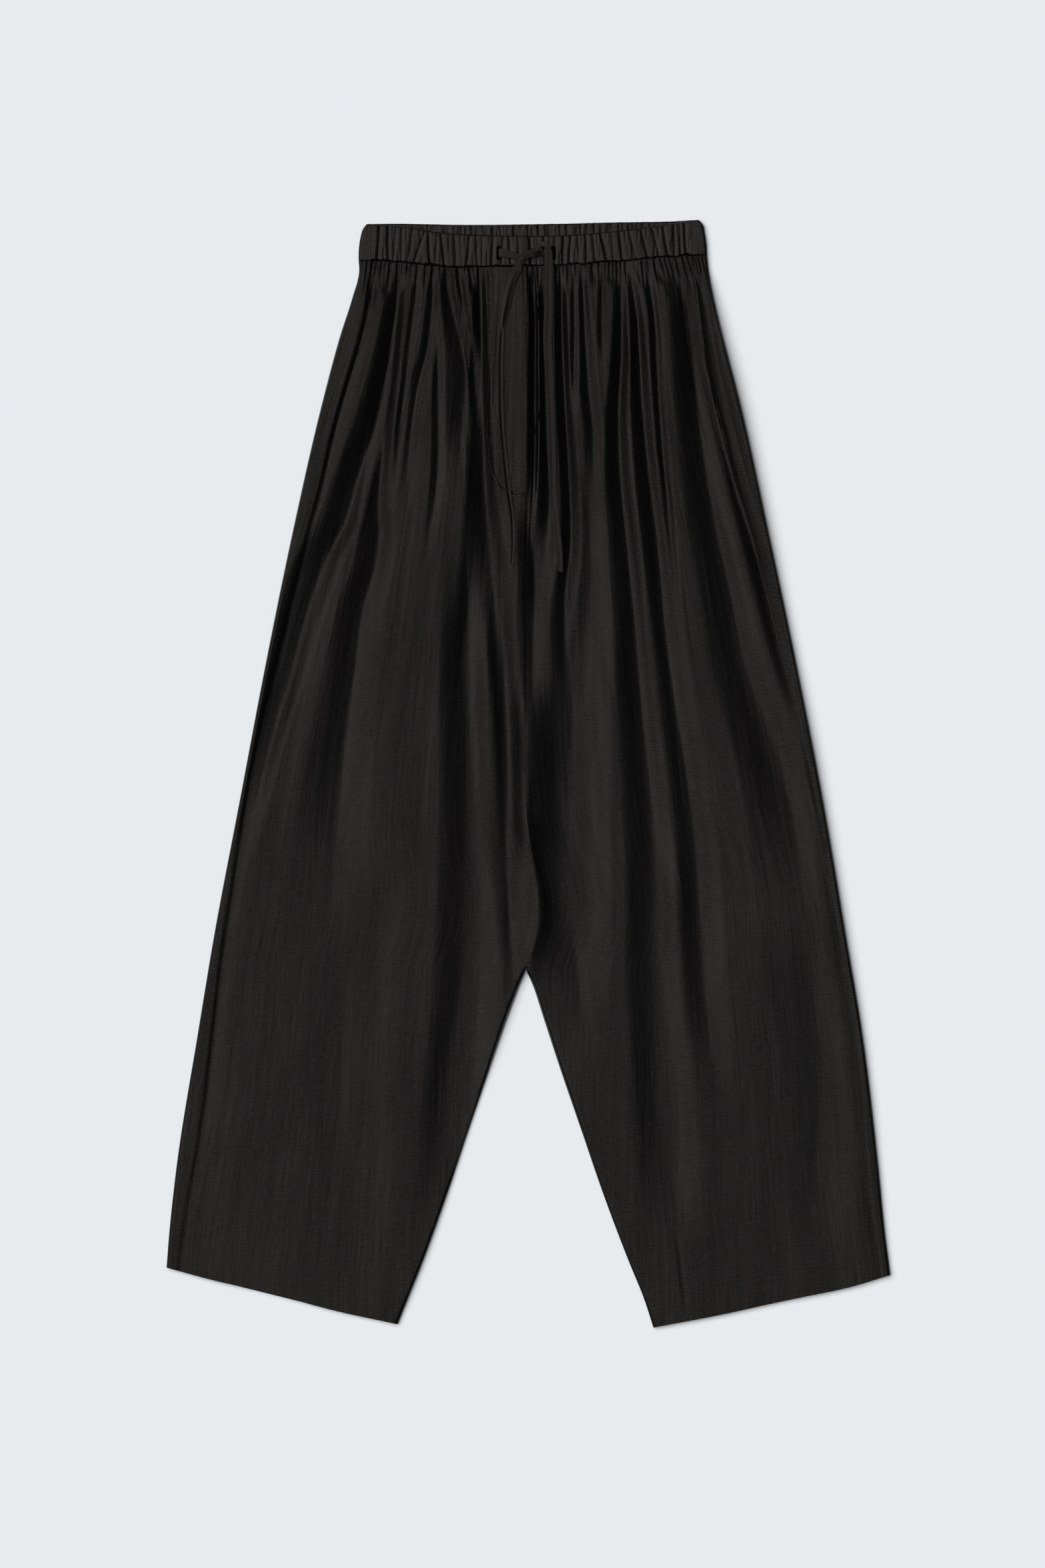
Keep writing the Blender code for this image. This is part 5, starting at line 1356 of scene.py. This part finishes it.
# How a tape is folded along its length, by height in the photograph: a groove, or a ridge where negative
TAPE_FOLDS = {
    'drawstring_to_right': ((360, 0.0), (430, 0.12), (860, 0.12)),
    'drawstring_to_left': (
        (360, 0.0), (398, 0.0), (430, -0.5), (470, -0.9), (486, -0.7), (500, 0.5), (560, 0.7), (750, 0.7),
        (846, 0.3),
    ),
}


def resting_height(x, y):
    """Upper face of whatever the tape lies on: waistband, placket or front."""
    on_panel = front_top(x, y)
    across_placket = (x < centre_front(y) + PLACKET_MARGIN) & (x > fly_edge(y) - PLACKET_MARGIN)
    above_foot = y > height_of(FLY_LAST_LEVEL) - PLACKET_MARGIN
    on_panel = on_panel + np.where(across_placket & above_foot, SEAM_GAP + PLACKET_WALL, 0)
    on_band = y > low_front(x) - PLACKET_MARGIN
    return np.where(on_band, np.maximum(BAND_TOP + PUCKER_MOST, on_panel), on_panel)


def tape_path(route):
    """The places of a tape's middle, its widths and its sideways directions, from buttonhole to free end."""
    places = from_photo([row[:2] for row in route])
    gone = gone_along(places)
    at = np.linspace(0, gone[-1], round(gone[-1] / TAPE_SPACING) + 1)
    _, _, widths, levels = zip(*route)
    x, y, width, level = (smooth_through(gone, values)(at) for values in (*places.T, widths, levels))
    ahead = np.column_stack((np.gradient(x, at), np.gradient(y, at)))
    ahead /= np.linalg.norm(ahead, axis=1)[:, None]
    side = np.column_stack((-ahead[:, 1], ahead[:, 0]))
    reach = np.linspace(-1, 1, TAPE_SAMPLES)[:, None] * (width / 2 + TAPE_SIDE)
    under = resting_height(x + reach * side[:, 0], y + reach * side[:, 1]).max(axis=0)
    highest = np.array([under[np.abs(at - place) <= TAPE_BRIDGE].max() for place in at])
    settled = np.array([highest[np.abs(at - place) <= TAPE_BRIDGE].mean() for place in at])
    return np.column_stack((x, y, settled + SEAM_GAP + TAPE_WALL / 2 + level)), width, side


def make_tape(name, route, material):
    """One flat tape of the drawstring: up its buttonhole, across the knot and down to its free end."""
    middles, widths, sides = tape_path(route)
    slot_x, slot_y = slot_place(route)
    toward = 1 if route[1].across > route[0].across else -1
    first_height = middles[0, 2]
    centres = [
        (slot_x, slot_y, SLOT_DEEP),
        (slot_x, slot_y, first_height - TURN_START),
        (slot_x + toward * TURN_ACROSS, slot_y, first_height - TURN_ACROSS),
    ]
    flats = [np.array((0, 1, 0))] * 3
    thins = [np.array((toward, 0, 0)), np.array((toward, 0, 0)), np.array((toward, 0, -1)) / math.sqrt(2)]
    half_widths = [SLOT_TAPE_WIDTH / 2] * 3
    for middle, width, side, ahead in zip(middles, widths, sides, np.gradient(middles, axis=0)):
        flat = np.array((*side, 0)) * toward
        thin = np.cross(ahead, flat)
        thin *= -np.sign(thin[2]) / np.linalg.norm(thin)
        centres.append(tuple(middle))
        flats.append(flat)
        thins.append(thin)
        half_widths.append(width / 2)
    half_ring = np.array(TAPE_RING)
    wide, thick = np.concatenate((half_ring, half_ring[::-1] * (1, -1))).T
    groove = FOLD_MEAN - np.clip(1 - np.abs(wide) / GROOVE_HALF, 0, 1)
    ridge = np.clip(1 - np.abs(wide - RIDGE_ASIDE) / RIDGE_HALF, 0, 1) - FOLD_MEAN
    rings = []
    for centre, flat, thin, half in zip(centres, flats, thins, half_widths):
        fold = by_height(TAPE_FOLDS[name], down_of(centre[1]))
        ring = np.array(centre) + np.outer(wide * half, flat) + np.outer(thick * TAPE_WALL / 2, thin)
        ring[:, 2] += max(fold, 0) * groove + max(-fold, 0) * ridge
        rings.append(ring)
    count = len(rings)
    points = np.concatenate((*rings, centres[:1], centres[-1:]))
    numbers = np.arange(count * TAPE_POINTS).reshape(count, TAPE_POINTS)
    around = np.concatenate((numbers, numbers[:, :1]), axis=1)
    start, end = len(points) - 2, len(points) - 1
    triangles = []
    for i in range(TAPE_POINTS):
        triangles.append((start, around[0, i], around[0, i + 1]))
        triangles.append((end, around[-1, i + 1], around[-1, i]))
    along = np.repeat(np.arange(count) * TAPE_SPACING, TAPE_POINTS)
    grain = np.column_stack((np.tile(wide, count) * TAPE_GRAIN, along))
    grain = np.concatenate((grain, [[0, 0], [0, along[-1]]]))
    wall = (points, grid_faces(around), np.array(triangles))
    piece = dress(name, wall, grain, material, sharp_degrees=TAPE_SHARP_DEGREES)
    path = [tuple(float(METRES * value) for value in centre) for centre in centres]
    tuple(path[0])
    max(widths) * METRES


# Stitching

THREAD_AROUND = 6
THREAD_RINGS = 5
STITCH_PITCH = 3.0
STITCH_LENGTH = 2.1
STITCH_WIDTH = 0.7
STITCH_SINK = 0.2
# Satin stitches round a buttonhole: their pitch, length and width, and how far outside the slot they lie
SATIN_PITCH = 0.52
SATIN_LENGTH = 1.7
SATIN_WIDTH = 0.6
SATIN_ASIDE = 0.75
SATIN_BEYOND = 0.5
SATIN_LIFT = 0.05
SATIN_SLANT_SIDE = 0.05
SATIN_SLANT_END = 0.03


def add_threads(name, stitches, material):
    """Short raised threads in one mesh. A stitch is its middle, its direction, its length and its width."""
    points = []
    quads = []
    triangles = []
    grain = []
    for middle, ahead, length, width in stitches:
        ahead = np.array(ahead) / np.linalg.norm(ahead)
        side = np.cross((0, 0, 1), ahead)
        side /= np.linalg.norm(side)
        up = np.cross(ahead, side)
        base = len(points)
        for ring in range(THREAD_RINGS):
            turn = math.pi * (ring + 0.6) / (THREAD_RINGS + 0.2)
            reach = -math.cos(turn) * length / 2
            girth = math.sin(turn) ** 0.6 * width / 2
            for k in range(THREAD_AROUND):
                angle = 2 * math.pi * k / THREAD_AROUND
                around = girth * (side * math.cos(angle) + up * math.sin(angle))
                points.append(np.array(middle) + ahead * reach + around)
                grain.append((reach, angle * width / 2))
                if ring:
                    b = len(points) - 1
                    a = b - THREAD_AROUND
                    after = 1 if k < THREAD_AROUND - 1 else 1 - THREAD_AROUND
                    quads.append((a, a + after, b + after, b))
        last = base + (THREAD_RINGS - 1) * THREAD_AROUND
        for k in range(1, THREAD_AROUND - 1):
            triangles.append((base, base + k + 1, base + k))
            triangles.append((last, last + k, last + k + 1))
    wall = [np.array(rows) for rows in (points, quads, triangles)]
    return add_piece(name, wall, np.array(grain), material)


def make_fly_stitching(material):
    """The J-shaped row of topstitching beside the placket's edge."""
    x, y = smooth_line(J_STITCH, STITCH_PITCH)
    ahead_x, ahead_y = np.gradient(x), np.gradient(y)
    over = SEAM_GAP + PLACKET_WALL - STITCH_SINK
    z = front_top(x, y) + over
    rise = front_top(x + ahead_x, y + ahead_y) + over - z
    rows = zip(zip(x, y, z), zip(ahead_x, ahead_y, rise))
    stitches = [(middle, ahead, STITCH_LENGTH, STITCH_WIDTH) for middle, ahead in rows]
    return add_threads("fly_stitching", stitches, material)


def make_buttonhole(name, route, material):
    """Close satin stitches round an upright buttonhole."""
    slot_x, slot_y = slot_place(route)
    half = SLOT_HEIGHT / 2
    stitches = []
    for side in (-1, 1):
        x = slot_x + side * (SLOT_WIDTH / 2 + SATIN_ASIDE)
        for y in np.arange(slot_y - half + 0.2, slot_y + half - 0.1, SATIN_PITCH):
            stitches.append((x, y, (1, SATIN_SLANT_SIDE * side, 0)))
    for end in (-1, 1):
        y = slot_y + end * (half + SATIN_BEYOND)
        for x in np.arange(slot_x - 1.6, slot_x + 1.7, SATIN_PITCH):
            stitches.append((x, y, (SATIN_SLANT_END, 1, 0)))
    rows = []
    for x, y, ahead in stitches:
        share = (y - low_front(x)) / (high_front(x) - low_front(x))
        z = BAND_TOP + band_front_height(x, share)
        rows.append(((x, y, z + SATIN_LIFT), ahead, SATIN_LENGTH, SATIN_WIDTH))
    return add_threads(name, rows, material)


# Warm and cool colours, the roughness and how much of the slub shows. The thread has one colour.
LEG_CLOTH = ((0.0031, 0.0028, 0.0027), (0.0026, 0.0029, 0.0028), 0.225)
BAND_CLOTH = ((0.0036, 0.0032, 0.0031), (0.003, 0.0032, 0.0031), 0.25, 0.55)
# The drawstring is the leg cloth made darker, painted shade for its faces that tilt away from the light
SHADED_TAPE_CLOTH = ((0.0027, 0.0025, 0.0024), (0.0023, 0.0025, 0.0025), 0.26, 0.5, SHADED_TAPE_SHINE)
THREAD = ((0.002, 0.0018, 0.0017), 0.6)


def main():
    """Dresses every piece of the pants."""
    add_studio()
    # The drawstring's material carries painted shade in its darker colour and lower shine
    shaded_tape_cloth = cloth_material("drawstring cloth", *SHADED_TAPE_CLOTH)
    make_tape("drawstring_to_right", TAPE_TO_RIGHT, shaded_tape_cloth)
    make_tape("drawstring_to_left", TAPE_TO_LEFT, shaded_tape_cloth)
    front_cloth = cloth_material("front cloth", *LEG_CLOTH)
    back_cloth = cloth_material("back cloth", *LEG_CLOTH)
    band_cloth = cloth_material("waistband cloth", *BAND_CLOTH)
    thread = thread_material("thread", *THREAD)
    front_right, front_left = (make_front(leg, front_cloth) for leg in LEGS)
    back_right, back_left = (make_back(leg, back_cloth) for leg in LEGS)
    placket = make_placket(front_cloth)
    front_band = make_front_band(band_cloth)
    back_band = make_back_band(band_cloth)
    fly_stitching = make_fly_stitching(thread)
    right_hole = make_buttonhole("buttonhole_right", TAPE_TO_RIGHT, thread)
    left_hole = make_buttonhole("buttonhole_left", TAPE_TO_LEFT, thread)


main()
boxes = {"cad": cad_box, "visual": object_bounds()}
{name: [[float(v) for v in corner] for corner in box] for name, box in boxes.items()}
